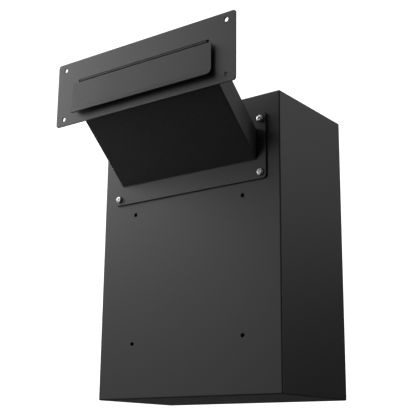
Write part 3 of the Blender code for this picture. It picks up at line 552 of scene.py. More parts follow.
def plated(name, dark, light, roughness, depth=0.000004):
    """Plated metal with fine drawing lines and a cloudy tint."""
    made, tree, shader, vector = start_material(name, Metallic=1.0)
    metal = effect(tree, "drawn_metal", vector)
    tree.links.new(tint(tree, metal["Cloud"], dark, light), shader.inputs["Base Color"])
    rough = add(tree, roughness - 0.05, metal["Lines"], 0.07)
    rough = add(tree, rough, metal["Cloud"], 0.06)
    tree.links.new(rough, shader.inputs["Roughness"])
    bump(tree, shader, metal["Lines"], depth)
    return made


def moulded_rubber(name):
    """Matt black rubber with a fine mould texture and a dusty bloom."""
    made, tree, shader, vector = start_material(name, Metallic=0.0, Specular_IOR_Level=0.3)
    grain = effect(tree, "coat_grain", vector, Bead_Size=0.0003, Swell_Size=0.0015)
    hands = effect(tree, "handling", vector, Patch_Size=0.004)
    tree.links.new(tint(tree, hands["Patches"], (0.014, 0.014, 0.014), (0.032, 0.031, 0.030)),
                   shader.inputs["Base Color"])
    tree.links.new(add(tree, 0.72, grain["Speckle"], 0.15), shader.inputs["Roughness"])
    bump(tree, shader, grain["Height"], 0.00003)
    return made


def floor_finish(name, colour):
    """Matt floor with a faint mottling, pale and glowing to the camera and dark to everything else."""
    made, tree, shader, vector = start_material(name, Metallic=0.0, Specular_IOR_Level=0.2)
    mottle = spread(tree, noise(tree, vector, 3.0, 4.0), 0.3, 0.7)
    pale = tint(tree, mottle, tuple(c * 0.985 for c in colour), colour)
    seen = node(tree, "ShaderNodeLightPath").outputs["Is Camera Ray"]
    tree.links.new(tint(tree, seen, (0.05, 0.05, 0.05), (0.25, 0.25, 0.25)), shader.inputs["Base Color"])
    tree.links.new(pale, shader.inputs["Emission Color"])
    tree.links.new(maths(tree, "MULTIPLY", seen, 0.92), shader.inputs["Emission Strength"])
    tree.links.new(add(tree, 0.75, mottle, 0.08), shader.inputs["Roughness"])
    return made


def finish(name):
    """A finish by name, made the first time it is asked for."""
    made = bpy.data.materials.get(name)
    if made:
        return made
    look = bpy.context.scene.parcel_box_look
    coat = tuple(look.coat_colour)
    makers = {
        "powder_coat": lambda: powder_coat(name, coat, look),
        "powder_coat_chute": lambda: powder_coat(name, coat, look),
        # The flap's copy of the coat is darker and has less sheen than the plate's.
        "powder_coat_flap": lambda: powder_coat(name, coat, look, 0.72, 0.82),
        "zinc": lambda: plated(name, (0.70, 0.71, 0.73), (0.86, 0.87, 0.89), 0.19),
        "pin_steel": lambda: plated(name, (0.45, 0.45, 0.46), (0.58, 0.58, 0.59), 0.34),
        "lock_chrome": lambda: plated(name, (0.78, 0.79, 0.81), (0.84, 0.85, 0.86), 0.12, depth=0.000001),
        "key_metal": lambda: plated(name, (0.62, 0.58, 0.48), (0.72, 0.69, 0.60), 0.26),
        "rubber": lambda: moulded_rubber(name),
        "floor": lambda: floor_finish(name, tuple(look.floor_colour)),
    }
    return makers[name]()


# ---------------------------------------------------------------------------------------------
# Pieces
# ---------------------------------------------------------------------------------------------

def pan(name, source, section, holes, face_y, sizes):
    """A folded sheet-metal pan: a flat face with holes, and a folded edge carried all round it.

    section is the edge's outline as (inset, y) points, from the face's outer surface to its inner
    one. Each point of it becomes a rounded rectangle inset by that much, with the corner radius less
    the inset. Known fault: the folded edge starts PAN_SEAM further in than the flat face ends, and
    that hair seam isn't joined.
    """
    half_x, half_z, centre_z = halves(*span(source))
    fold, edge = sizes.fold_radius, sizes.edge_radius

    def place(y):
        return upright(y, (0.0, centre_z))
    surface = Surface()
    rows = [place(y)(rounded_rectangle(half_x - inset, half_z - inset, fold - inset)) for inset, y in section]
    surface.grid(np.array(rows), wrap_columns=True)
    inner_y = face_y + math.copysign(sizes.sheet, section[-1][1] - section[0][1])
    rims(surface, holes, place, face_y, inner_y, edge)
    corner = rounded_rectangle(half_x - fold, half_z - fold, 0.0, 0)
    for y in (face_y, inner_y):
        surface.cap([corner] + [hole(edge) for hole in holes], place(y))
    return make_piece(name, surface, source, finish("powder_coat"))


def round_hole(radius, x, z, count=40):
    """A round hole as a function of the inset into the material round it."""
    return lambda inset: circle(radius + inset, count, (x, z))


def square_hole(half_x, half_z, x, z, radius):
    """A rectangular hole with small round corners, as a function of the inset round it."""
    return lambda inset: rounded_rectangle(half_x + inset, half_z + inset, radius + inset) + (x, z)


def plate_outline(half_x, half_z, radius):
    """A rounded plate's outline as a function of the inset into it."""
    return lambda inset: rounded_rectangle(half_x - inset, half_z - inset, radius - inset, PLATE_ARC_STEPS)


def corners_of(half_x, half_z):
    """The four corners of a rectangle about the middle."""
    return [(sx * half_x, sz * half_z) for sx in (-1, 1) for sz in (-1, 1)]


def build_box(sizes):
    """Box with folded corners, the window of the chute, screw and bolt holes, and the door's frame."""
    low, high = span("body_shell")
    half_x, _, centre_z = halves(low, high)
    door_low, door_high = span("door_panel")
    fold, sheet = sizes.fold_radius, sizes.sheet
    lip_y = door_low[1] - sizes.lip_clearance
    jamb = half_x - door_high[0] - sizes.door_gap
    path = folded_path([(fold + PAN_SEAM, low[1]), (0.0, low[1]), (0.0, high[1]), (jamb, high[1]),
                        (jamb, lip_y), (jamb + sizes.stop_lip - sheet / 2, lip_y)], fold - ONE_MICRON)
    section = strip_section(path, -sheet)
    flange_z = halves(*span("chute_flange"))[2] - centre_z
    bolt_x, bolt_z = bolt_spacing()
    screw_z = sizes.wall_screw_height - centre_z
    holes = [window(sizes, -centre_z)]
    holes += [round_hole(sizes.wall_hole, x, screw_z + z) for x, z in
              corners_of(sizes.wall_screw_x / 2, sizes.wall_screw_z / 2)]
    holes += [round_hole(sizes.bolt_hole, x, flange_z + z, 32) for x, z in corners_of(bolt_x, bolt_z)]
    return pan("box_shell", "body_shell", section, holes, low[1], sizes)


def bolt_spacing():
    """Half the distances between the chute's bolts, across and up."""
    first, last = (sum(span("chute_bolt_%d" % number)) / 2 for number in (1, 4))
    return abs(last[0] - first[0]) / 2, abs(last[2] - first[2]) / 2


def window(sizes, shift):
    """The opening that the mail falls through, from the stated openings of the box."""
    opening = next(o for o in frame["record"]["physics"]["openings"] if o["name"] == "box_window")
    half_x = opening["box_m"][1][0] + sizes.window_margin
    top, bottom = sizes.window_top, sizes.window_bottom
    return square_hole(half_x, (top - bottom) / 2, 0.0, (top + bottom) / 2 + shift, sizes.edge_radius)


def build_flange(sizes):
    """Flat plate under the chute, bolted to the box at its four corners."""
    low, high = span("chute_flange")
    half_x, half_z, centre_z = halves(low, high)
    bolt_x, bolt_z = bolt_spacing()
    outlines = [plate_outline(half_x, half_z, sizes.flange_corner), window(sizes, -centre_z)]
    outlines += [round_hole(sizes.bolt_hole, x, z, 32) for x, z in corners_of(bolt_x, bolt_z)]
    return slab("chute_foot_flange", "chute_flange", "powder_coat", outlines,
                lambda y: upright(y, (0.0, centre_z)), low[1], high[1], sizes.edge_radius)


def slope_of_chute():
    """Metres up for each metre outwards along the chute."""
    axis = JOINTS["chute_extend"]["axis"]
    return axis[2] / -axis[1]


def sleeve(name, source, finish_name, sizes):
    """A sloping duct with upright ends and folded corners.

    For each point round a rounded rectangle (across, upright height) and each station along Y, the
    point stands at the duct's sloping middle plus that height. Known fault: each rim's stations run
    from the skin to the end face, so both skins lie one edge radius inside the sheet and face inwards.
    """
    low, high = span(source)
    slope = slope_of_chute()
    rise = slope * (high[1] - low[1])
    tall = high[2] - low[2] - rise
    upright_wall = sizes.sheet * math.hypot(1.0, slope)
    middle_at = (low[2] + high[2]) / 2 + slope * (low[1] + high[1]) / 2

    def ring(depth, y):
        """The outline inset by a share of the wall, at a station."""
        loop = rounded_rectangle(high[0] - depth * sizes.sheet, tall / 2 - depth * upright_wall,
                                 sizes.fold_radius - depth * sizes.sheet)
        return np.column_stack([loop[:, 0], np.full(len(loop), y), middle_at - slope * y + loop[:, 1]])
    quarter = np.linspace(0, math.pi / 2, EDGE_STEPS + 1)
    inset = sizes.edge_radius * (1 - np.sin(quarter))
    back = sizes.edge_radius * (1 - np.cos(quarter))
    depths = np.append(inset[::-1], inset) / sizes.sheet
    stations = np.append(high[1] - back[::-1], low[1] + back)
    rows = [ring(depth, y) for depth, y in zip(depths, stations)]
    rows += [ring(1 - depth, y) for depth, y in zip(depths[::-1], stations[::-1])]
    return grid_piece(name, source, finish_name, np.array(rows), wrap_rows=True, wrap_columns=True)


def build_faceplate(sizes):
    """Outdoor plate with round corners, the mouth and a screw hole near each corner."""
    low, high = span("faceplate")
    half_x, half_z, centre_z = halves(low, high)
    mouth = span("chute_sleeve_upper")[1][0] - sizes.sheet
    outlines = [plate_outline(half_x, half_z, sizes.faceplate_corner),
                square_hole(mouth, sizes.mouth_height / 2, 0.0, 0.0, sizes.edge_radius)]
    outlines += [round_hole(sizes.faceplate_hole, x, z) for x, z in
                 corners_of(half_x - sizes.plate_hole_end, half_z - sizes.plate_hole_edge)]
    return slab("outdoor_faceplate", "faceplate", "powder_coat", outlines,
                lambda y: upright(y, (0.0, centre_z)), low[1], high[1], sizes.edge_radius)


def build_flap(sizes):
    """Flap: a sheet bent along its lower edge, with round corners.

    The sheet's section is a straight run, a bend of the fold radius and the lip, carried across the
    width; at each distance down the section the half width shrinks by the corners' arcs.
    """
    low, high = span("flap")
    lip = math.radians(sizes.lip_angle)
    back_y = high[1]
    reach = sizes.lip_length
    fold_z = low[2] + reach * math.cos(lip)
    corners = [(back_y, high[2]), (back_y, fold_z),
               (back_y - reach * math.sin(lip), fold_z - reach * math.cos(lip))]
    path = folded_path(corners, FLAP_FOLD, PLATE_ARC_STEPS)
    step = np.concatenate([[0], np.cumsum(np.linalg.norm(np.diff(path, axis=0), axis=1))])
    length = step[-1]
    top_r, low_r = sizes.flap_top_corner, sizes.flap_lip_corner
    arc = 1 - np.cos(np.linspace(0, math.pi / 2, 8))
    extra = np.concatenate([top_r * arc, length - low_r * arc])
    down = np.unique(np.round(np.concatenate([step, extra]), 7))
    y = np.interp(down, step, path[:, 0])
    z = np.interp(down, step, path[:, 1])
    into_top = np.clip(top_r - down, 0, top_r)
    into_low = np.clip(low_r - (length - down), 0, low_r)
    half = high[0] - top_r - low_r + np.sqrt(top_r ** 2 - into_top ** 2) + np.sqrt(low_r ** 2 - into_low ** 2)
    across = np.sin(np.linspace(-1, 1, 25) * math.pi / 2)
    grid = np.stack([half[:, None] * across, y[:, None] + 0 * across, z[:, None] + 0 * across], -1)
    return sheet_piece("flap_panel", "flap", "powder_coat_flap", grid, sizes.sheet,
                       math.copysign(1.0, -first_normal(grid)[1]), sizes.edge_radius * 1.5)


def first_normal(grid):
    """The normal of a grid's first quad, by the cross product of two of its sides."""
    return np.cross(grid[0, 1] - grid[0, 0], grid[1, 1] - grid[0, 1])


def sheet_piece(name, source, finish_name, points, thickness, offset, edge, keep=None):
    """A piece of bent sheet: an open grid given its thickness and small rounded edges."""
    piece = grid_piece(name, source, finish_name, points, outward=False, flat_faces=False, keep=keep)
    solid = piece.modifiers.new("sheet", "SOLIDIFY")
    solid.thickness = thickness
    solid.offset = offset
    solid.use_even_offset = True
    solid.use_quality_normals = True
    rounding = piece.modifiers.new("edges", "BEVEL")
    rounding.width = edge
    rounding.segments = 2
    rounding.limit_method = "ANGLE"
    rounding.angle_limit = math.radians(60)
    rounding.harden_normals = True
    favour_flat_faces(piece)
    return piece


def hinge_leaf(name, source, axis, down, out, parity, count, length, width, drop, sheet, pin, sizes,
               joggle=None):
    """One leaf of a piano hinge: a flat strip that curls three quarters of a turn round the pin.

    axis is the pin's middle; down points along the leaf away from the pin, and out is the side of
    the pin that the strip lies on. The section is carried along the pin, and the curl is kept only
    over this leaf's own knuckles. With a joggle the strip steps back at that distance from the pin
    and meets the curl behind the pin; without one it meets the curl in front.
    """
    axis, down, out = (np.array(v, float) for v in (axis, down, out))
    along = np.abs(np.cross(down, out))
    clear = pin + sizes.pin_clearance
    middle = clear + sheet / 2
    turn = np.radians(np.linspace(*(-180, -430) if joggle else (0, 270), CURL_STEPS))
    curl = np.column_stack([-middle * np.sin(turn), middle * np.cos(turn)])
    strip = np.array([(width, drop), (clear + sheet + sizes.contact_gap, drop)])
    if joggle:
        steps = [(width, drop), (joggle, drop), (joggle, -middle), (0.0, -middle)]
        strip = folded_path(steps, sheet, 3)[:-1]
    path = np.vstack([strip, curl])
    pitch = length / count
    gap = sizes.knuckle_gap / 2
    start = np.arange(count) * pitch - length / 2
    stations = np.column_stack([start + gap, start + pitch - gap]).ravel()
    place = path[:, :1, None] * down + path[:, 1:, None] * out
    grid = axis + place[:, 0][None] + stations[:, None, None] * along
    keep = np.zeros((len(stations) - 1, len(path) - 1), bool)
    keep[:, 0] = True
    own = (np.arange(len(stations) - 1) % 2 == 0) & ((np.arange(len(stations) - 1) // 2) % 2 == parity)
    keep[own] = True
    return sheet_piece(name, source, "powder_coat", grid, sheet, 0.0, sheet * 0.2, keep)


def build_flap_hinge(sizes):
    """Piano hinge between the flap and the chute's roof, with its pin."""
    axis = np.array(JOINTS["flap_hinge"]["pos_m"])
    slope = math.atan(slope_of_chute())
    length = span("flap_hinge_pin")[1][0] * 2
    common = dict(count=KNUCKLES["flap"], length=length, width=LEAF_WIDTH["flap"], sheet=sizes.flap_leaf,
                  pin=sizes.flap_pin, sizes=sizes)
    hinge_leaf("flap_hinge_flap_leaf", "flap_hinge_moving_leaf", axis, (0, 0, -1), (0, -1, 0), 0,
               drop=sizes.flap_leaf_drop, joggle=sizes.flap_joggle, **common)
    down_chute = (0, math.cos(slope), -math.sin(slope))
    roofward = (0, math.sin(slope), math.cos(slope))
    middle = sizes.flap_pin + sizes.pin_clearance + sizes.flap_leaf / 2
    hinge_leaf("flap_hinge_chute_leaf", "flap_hinge_fixed_leaf", axis, down_chute, roofward, 1,
               drop=middle, **common)
    wire("flap_hinge_wire", "flap_hinge_pin", 0)


def wire(name, source, axis):
    """A round hinge pin with domed ends along X (0) or Z (2)."""
    low, high = span(source)
    middle = (low + high) / 2
    half = (high - low) / 2
    others = [i for i in range(3) if i != axis]
    radius, reach = half[others[0]], half[axis]
    dome = radius * 0.5
    turn = np.linspace(0, math.pi / 2, 6)
    end = np.column_stack([radius * np.sin(turn), reach - dome + dome * np.cos(turn)])
    profile = np.vstack([end, end[::-1] * (1, -1)])

    def lift(across, up, along):
        parts = {axis: along, others[0]: across, others[1]: up}
        return np.stack([parts[i] for i in range(3)], -1) + middle
    return grid_piece(name, source, "pin_steel", turned_grid(profile, 24, lift), flat_faces=False,
                      wrap_columns=True)


def cross_recess(radius, angle, tips, width, depth, wall=RECESS_WALL):
    """How deep a cross-shaped recess is at a polar point: two crossed bars with sloping ends and walls."""
    x, y = np.abs(radius * np.cos(angle)), np.abs(radius * np.sin(angle))
    long, short = np.maximum(x, y), np.minimum(x, y)
    side = np.clip((width / 2 - short) / wall + 0.5, 0, 1)
    end = np.clip((tips / 2 - long) / (tips * 0.22), 0, 1)
    centre = np.clip((width * 0.9 - (long + short) / 1.4) / wall + 0.5, 0, 1)
    return depth * np.maximum(np.minimum(side, end), centre * 0.95)


def screw_head(radius, height, recess, count=96):
    """A pan head: its crown is an ellipse's arc over the radius, less the cross recess.

    recess is the cross's span from tip to tip, its arms' width and its depth.
    """
    shares = np.concatenate([np.linspace(0.012, 0.68, 30), 1 - 0.32 * (1 - np.linspace(0, 1, 14)[1:]) ** 1.6])
    angle = full_turn(count)
    r = radius * shares[:, None] * np.ones(count)
    arc = np.sqrt(np.clip(1 - shares ** 3.2, 0, 1))
    crown = height * (SKIRT_SHARE + (1 - SKIRT_SHARE) * arc)[:, None] * np.ones(count)
    return r, angle, crown - cross_recess(r, angle, *recess)


def thread(radius, start, end, count, steps=6):
    """A threaded shank from its start to its end.

    The radius falls by a triangle wave of the height less the angle's share of a pitch, and the thread
    fades over the first and last pitch.
    """
    depth, pitch = THREAD_DEPTH, THREAD_PITCH
    rows = int((end - start) / pitch * steps)
    height = np.linspace(start, end, rows)[:, None] * np.ones(count)
    angle = full_turn(count)
    wave = np.abs(((height / pitch - angle / (2 * math.pi)) % 1.0) * 2 - 1)
    fade = np.clip((height - start) / pitch, 0, 1) * np.clip((end - height) / pitch, 0, 1)
    return radius - depth * (1 - wave) * fade - depth * (1 - fade), angle, height


def build_bolt(number, sizes):
    """Pan-head machine screw with a cross recess and a threaded shank."""
    source = "chute_bolt_%d" % number
    low, high = span(source)
    middle = (low + high) / 2
    radius = halves(low, high)[0]
    under = span("chute_flange")[0][1] - sizes.contact_gap
    head = under - low[1]
    lift = along_y(middle * (1, 0, 1), -1.0)
    r, angle, top = screw_head(radius, head, (sizes.recess_span, sizes.recess_width, sizes.recess_depth))
    crown = polar(lift, r, angle, top - under)
    count = len(angle)
    skirt = folded_path([(radius, head * SKIRT_SHARE), (radius, 0.0), (sizes.bolt_radius, 0.0)],
                        FINE_ROUND, 3)
    lower = turned_grid(skirt + (0.0, -under), count, lift)
    r, angle, level = thread(sizes.bolt_radius, under - high[1] + TIP_BEVEL, 0.0, count)
    shank = polar(lift, r, angle, level - under)[::-1]
    tip = turned_grid([(sizes.bolt_radius - 2 * THREAD_DEPTH, -high[1]), (0.0, -high[1])], count, lift)
    rows = np.vstack([pole(crown[:1]), crown, lower[1:], shank, tip])
    return grid_piece("flange_screw_%d" % number, source, "zinc", rows, flat_faces=False, wrap_columns=True)


def nut_surface(across_flats, height, bore, lift, count=72):
    """A hexagon nut: profile rings whose radius follows the hexagon, with both faces chamfered by a cone.

    The hexagon's radius is half the width across flats over the cosine of the angle from the nearest
    flat's middle; beyond the chamfer circle the face drops by the excess radius times tan 30 degrees.
    """
    angle = full_turn(count)
    from_flat = (angle + math.pi / 6) % (math.pi / 3) - math.pi / 6
    hexagon = across_flats / 2 / np.cos(from_flat)
    inner = across_flats / 2 * NUT_FACE
    fall = (hexagon - inner) * math.tan(math.radians(30))
    lead = FINE_ROUND
    rings = [(bore, height - lead), (bore + lead, height), (inner, height), (hexagon, height - fall),
             (hexagon, fall), (inner, 0.0), (bore + lead, 0.0), (bore, lead)]
    radius = np.array([ring[0] + 0 * angle for ring in rings])
    level = np.array([ring[1] + 0 * angle for ring in rings])
    return polar(lift, radius, angle, level)


def build_nut(name, source, across_flats, bore):
    """Hexagon nut along Y, standing where its node stands."""
    low, high = span(source)
    middle = (low + high) / 2
    lift = along_y((middle[0], low[1], middle[2]))
    rows = nut_surface(across_flats, high[1] - low[1], bore, lift)
    return grid_piece(name, source, "zinc", rows, wrap_rows=True, wrap_columns=True)


def build_bumper(label):
    """Rubber button with a domed top and a short skirt."""
    source = "flap_bumper_" + label
    low, high = span(source)
    middle = (low + high) / 2
    radius, height = high[0] - middle[0], high[1] - low[1]
    flat, skirt = BUMPER_SHARES
    profile = folded_path([(0.0, height), (radius * flat, height), (radius, height * skirt), (radius, 0.0),
                           (0.0, 0.0)], BUMPER_ROUND, 4)
    rows = turned_grid(profile, 40, along_y((middle[0], high[1], middle[2]), -1.0))
    return grid_piece("flap_buffer_" + label, source, "rubber", rows, flat_faces=False, wrap_columns=True)


def build_door(sizes):
    """Door: a shallow pan with folded edges and the lock's hole."""
    low, high = span("door_panel")
    fold = sizes.fold_radius
    path = folded_path([(fold + PAN_SEAM, high[1]), (0.0, high[1]), (0.0, low[1] + sizes.sheet / 2)],
                       fold - ONE_MICRON)
    section = strip_section(path, sizes.sheet)
    lock = JOINTS["lock_turn"]["pos_m"]
    holes = [round_hole(sizes.lock_hole, lock[0], lock[2] - halves(low, high)[2], 64)]
    return pan("room_door", "door_panel", section, holes, high[1], sizes)


def build_stiffener(sizes):
    """Channel spot-welded down the inside of the door: its section carried upwards."""
    low, high = span("door_stiffener")
    path = folded_path([(low[0], high[1]), (low[0], low[1]), (high[0], low[1]), (high[0], high[1])],
                       CHANNEL_FOLD)
    grid = np.stack([lying(z)(path) for z in np.linspace(low[2], high[2], 3)])
    return sheet_piece("door_channel", "door_stiffener", "powder_coat", grid, sizes.stiffener_sheet,
                       math.copysign(1.0, first_normal(grid)[0]), sizes.edge_radius * 0.7)


def build_door_hinge(sizes):
    """Piano hinge down the door's edge, one leaf on the frame and one on the door."""
    axis = np.array(JOINTS["door_hinge"]["pos_m"])
    pin_low, pin_high = span("door_hinge_pin")
    middle = sizes.door_pin + sizes.pin_clearance + sizes.door_leaf / 2
    common = dict(count=KNUCKLES["door"], length=pin_high[2] - pin_low[2], width=LEAF_WIDTH["door"],
                  drop=middle, sheet=sizes.door_leaf, pin=sizes.door_pin, sizes=sizes)
    hinge_leaf("door_hinge_leaf_frame", "door_hinge_frame_leaf", axis, (1, 0, 0), (0, -1, 0), 0, **common)
    hinge_leaf("door_hinge_leaf_door", "door_hinge_door_leaf", axis, (-1, 0, 0), (0, -1, 0), 1, **common)
    wire("door_hinge_wire", "door_hinge_pin", 2)


def build_lock(sizes):
    """Cam lock: chromed barrel and plug, its nut, the cam and the cam's screw."""
    lock = JOINTS["lock_turn"]["pos_m"]
    centre = (lock[0], 0.0, lock[2])
    lift = along_y(centre)
    low, high = span("lock_barrel")
    plug_low, plug_high = span("lock_plug")
    face = span("door_panel")[1][1] + sizes.contact_gap
    head = (high[0] - low[0]) / 2
    bore = (plug_high[0] - plug_low[0]) / 2 + sizes.pin_clearance
    body = sizes.lock_body
    mouth = [(bore + wider, high[1] - below) for wider, below in CASING_MOUTH]
    profile = folded_path([*mouth, (head * CASING_FLAT, high[1]), (head, high[1] - CASING_BEVEL),
                           (head, face), (body, face), (body, low[1]), (bore, low[1])], CASING_ROUND, 3)
    grid_piece("lock_casing", "lock_barrel", "lock_chrome", turned_grid(profile, 96, lift),
               wrap_rows=True, wrap_columns=True)
    build_nut("lock_casing_nut", "lock_nut", sizes.lock_nut, body + sizes.pin_clearance)
    build_plug(sizes, lift, plug_low, plug_high)
    build_cam(sizes, lock)
    build_cam_screw(centre)


def build_plug(sizes, lift, low, high):
    """Lock plug: a round face with the key's slot, and a flatted tail for the cam.

    The face is a height field over polar rings: flat, less the slot's depth inside its rectangle.
    """
    radius = (high[0] - low[0]) / 2
    count = 144
    angle = full_turn(count)
    shares = np.concatenate([np.linspace(0.02, 0.75, 44), np.linspace(0.76, 0.97, 7), [1.0, 1.0]])
    r = radius * shares[:, None] * np.ones(count)
    x, z = r * np.cos(angle), r * np.sin(angle)
    wall = KEYWAY_WALL
    across = np.clip((sizes.keyway_width / 2 - np.abs(x)) / wall + 0.5, 0, 1)
    tall = np.clip((sizes.keyway_height / 2 - np.abs(z)) / wall + 0.5, 0, 1)
    level = high[1] - sizes.keyway_depth * np.minimum(across, tall)
    level[-1] -= PLUG_BEVEL
    face = lift(x, z, level)
    flat, step = sizes.tail_flat, span("lock_barrel")[0][1]
    tail_x = sizes.tail_radius * np.cos(angle)
    tail_z = np.clip(sizes.tail_radius * np.sin(angle), -flat, flat)
    back = [lift(across, up, np.full(count, y))[None] for across, up, y in
            ((radius * np.cos(angle), radius * np.sin(angle), step), (tail_x, tail_z, step),
             (tail_x, tail_z, low[1]), (0 * tail_x, 0 * tail_z, low[1]))]
    rows = np.vstack([pole(face[:1]), face, *back])
    return grid_piece("lock_core", "lock_plug", "lock_chrome", rows, wrap_columns=True)


def grown(points):
    """An outline as a function of the inset into the material, moved along its normals."""
    normals = outline_normals(points)
    return lambda inset: points - normals * inset


def build_cam(sizes, lock):
    """Cam: a flat bar with a round root and tip and a flatted hole."""
    low, high = span("lock_cam")
    half = (high[0] - low[0]) / 2
    reach = lock[2] - low[2]
    tip = half * 0.6
    up = np.linspace(0, math.pi, 25)
    root = np.column_stack([half * np.cos(up), half * np.sin(up)])
    end = np.column_stack([tip * np.cos(up + math.pi), tip - reach + tip * np.sin(up + math.pi)])
    hole = circle(sizes.tail_radius + CAM_PLAY)
    hole[:, 1] = np.clip(hole[:, 1], -sizes.tail_flat - CAM_PLAY, sizes.tail_flat + CAM_PLAY)
    return slab("lock_cam_bar", "lock_cam", "zinc", [grown(np.vstack([root, end])), lambda inset: hole],
                lambda y: upright(y, (lock[0], lock[2])), low[1], high[1], CAM_EDGE)


def build_cam_screw(centre):
    """Low screw head with a cross recess that holds the cam on the plug."""
    low, high = span("cam_screw")
    radius = halves(low, high)[0]
    r, angle, top = screw_head(radius, high[1] - low[1], CAM_RECESS)
    lift = along_y(centre, -1.0)
    crown = polar(lift, r, angle, top - high[1])
    base = turned_grid([(radius, -high[1]), (0.0, -high[1])], len(angle), lift)
    rows = np.vstack([pole(crown[:1]), crown, base])
    return grid_piece("cam_fixing_screw", "cam_screw", "zinc", rows, wrap_columns=True)


def build_key(sizes):
    """Flat key: a notched blade, a neck and a round bow with a hole, with softened edges."""
    lock = JOINTS["lock_turn"]["pos_m"]
    low, high = span("key")
    half, bow = sizes.blade_width / 2, (high[0] - low[0]) / 2
    tip_y, bow_y = low[1], high[1] - bow
    pitch = sizes.blade_length / (KEY_NOTCHES + 1)
    outline = [(-half * 0.5, tip_y), (half * 0.5, tip_y)]
    for index in range(KEY_NOTCHES):
        middle = tip_y + (index + 0.75) * pitch
        outline += [(half, middle - pitch * 0.35), (half - KEY_NOTCH, middle), (half, middle + pitch * 0.35)]
    start = math.asin(half / bow)
    angle = np.linspace(start, 2 * math.pi - start, 65)
    round_bow = np.column_stack([bow * np.sin(angle), bow_y - bow * np.cos(angle)])
    points = np.vstack([outline, round_bow, [(-half, tip_y + half * 0.5)]])
    outlines = [grown(points), round_hole(KEY_RING_HOLE, 0.0, bow_y + bow * 0.5)]
    return slab("door_key", "key", "key_metal", outlines,
                lambda z: lying(z, (lock[0], 0.0)), high[2], low[2], KEY_EDGE)


# ---------------------------------------------------------------------------------------------
# Properties, operators and panel
# ---------------------------------------------------------------------------------------------

def number(label, text, value):
    """A plain number to set in the panel."""
    return FloatProperty(name=label, description=text, default=value)


def colour(label, text, value):
    """A colour to set in the panel."""
    return FloatVectorProperty(name=label, description=text, subtype="COLOR", size=3, min=0.0, max=1.0,
                               default=value)


def length(label, text, value):
    """A length in metres to set in the panel."""
    return FloatProperty(name=label, description=text, default=value, min=0.0, unit="LENGTH", precision=5)


class ParcelBoxSizes(bpy.types.PropertyGroup):
    """Sizes of the details that the fixed frame doesn't state."""
    sheet: length("Sheet", "Thickness of the folded steel", 0.0015)
    fold_radius: length("Fold Radius", "Outside radius of a fold", 0.0020)
    edge_radius: length("Edge Radius", "Rounding of a cut and coated edge", 0.0003)
    contact_gap: length("Contact Gap", "Between pieces that touch", 0.0003)
    door_gap: length("Door Gap", "Between the door and its frame", 0.0020)
    lip_clearance: length("Lip Clearance", "Door's folded edge to the stop lip", 0.0005)
    stop_lip: length("Stop Lip", "Width of the lip that the door closes on", 0.0060)
    wall_hole: length("Wall Hole", "Radius of the holes for the wall screws", 0.0028)
    wall_screw_x: length("Wall Screws Across", "Distance between the wall screws across", 0.183)
    wall_screw_z: length("Wall Screws Up", "Distance between the wall screws up", 0.182)
    wall_screw_height: length("Wall Screw Height", "Middle of the wall screws above the base", 0.165)
    bolt_hole: length("Bolt Hole", "Radius of the chute's bolt holes", 0.0028)
    bolt_radius: length("Bolt Radius", "Radius of a bolt's thread", 0.0025)
    recess_span: length("Recess Span", "Cross recess from tip to tip", 0.0056)
    recess_width: length("Recess Width", "Width of the cross recess's arms", 0.0011)
    recess_depth: length("Recess Depth", "Depth of the cross recess", 0.0014)
    nut_flats: length("Nut Flats", "Chute nuts across flats", 0.0080)
    window_margin: length("Window Margin", "Window past the stated opening", 0.0008)
    window_top: length("Window Top", "Upper edge of the box's window", 0.33524)
    window_bottom: length("Window Bottom", "Lower edge of the box's window", 0.29996)
    flange_corner: length("Flange Corner", "Corner radius of the chute's flange", 0.0050)
    faceplate_corner: length("Faceplate Corner", "Corner radius of the faceplate", 0.0040)
    faceplate_hole: length("Faceplate Hole", "Radius of the faceplate's holes", 0.0030)
    plate_hole_end: length("Hole From End", "Faceplate hole to the plate's end", 0.01425)
    plate_hole_edge: length("Hole From Edge", "Faceplate hole to the plate's edge", 0.0100)
    mouth_height: length("Mouth Height", "Height of the mail slot", 0.03348)
    lip_length: length("Lip Length", "Flap's bent lower lip", 0.0085)
    lip_angle: number("Lip Angle", "Flap's lip from upright, in degrees", 27.0)
    flap_top_corner: length("Flap Top Corner", "Radius of the flap's upper corners", 0.0030)
    flap_lip_corner: length("Flap Lip Corner", "Radius of the lip's corners", 0.0045)
    flap_pin: length("Flap Pin", "Radius of the flap's hinge pin", 0.0008)
    flap_leaf: length("Flap Leaf", "Sheet of the flap's hinge", 0.0006)
    flap_leaf_drop: length("Flap Leaf Drop", "Moving leaf's middle to the pin's axis", 0.0026)
    flap_joggle: length("Flap Joggle", "Where the moving leaf steps back below the pin", 0.0046)
    door_pin: length("Door Pin", "Radius of the door's hinge pin", 0.0012)
    door_leaf: length("Door Leaf", "Sheet of the door's hinge", 0.0011)
    pin_clearance: length("Pin Clearance", "Pin to knuckle", 0.0001)
    knuckle_gap: length("Knuckle Gap", "Between knuckles", 0.0004)
    stiffener_sheet: length("Stiffener Sheet", "Thickness of the door's channel", 0.0012)
    lock_hole: length("Lock Hole", "Radius of the lock's hole in the door", 0.0096)
    lock_body: length("Lock Body", "Radius of the lock's threaded body", 0.0093)
    lock_nut: length("Lock Nut", "Lock nut across flats", 0.0230)
    keyway_width: length("Keyway Width", "Key slot across", 0.0077)
    keyway_height: length("Keyway Height", "Key slot up", 0.0019)
    keyway_depth: length("Keyway Depth", "Depth of the key slot", 0.0155)
    tail_radius: length("Tail Radius", "Radius of the plug's tail", 0.0035)
    tail_flat: length("Tail Flat", "Plug's tail, axis to flat", 0.0025)
    blade_width: length("Blade Width", "Width of the key's blade", 0.0074)
    blade_length: length("Blade Length", "Length of the key's blade", 0.0150)


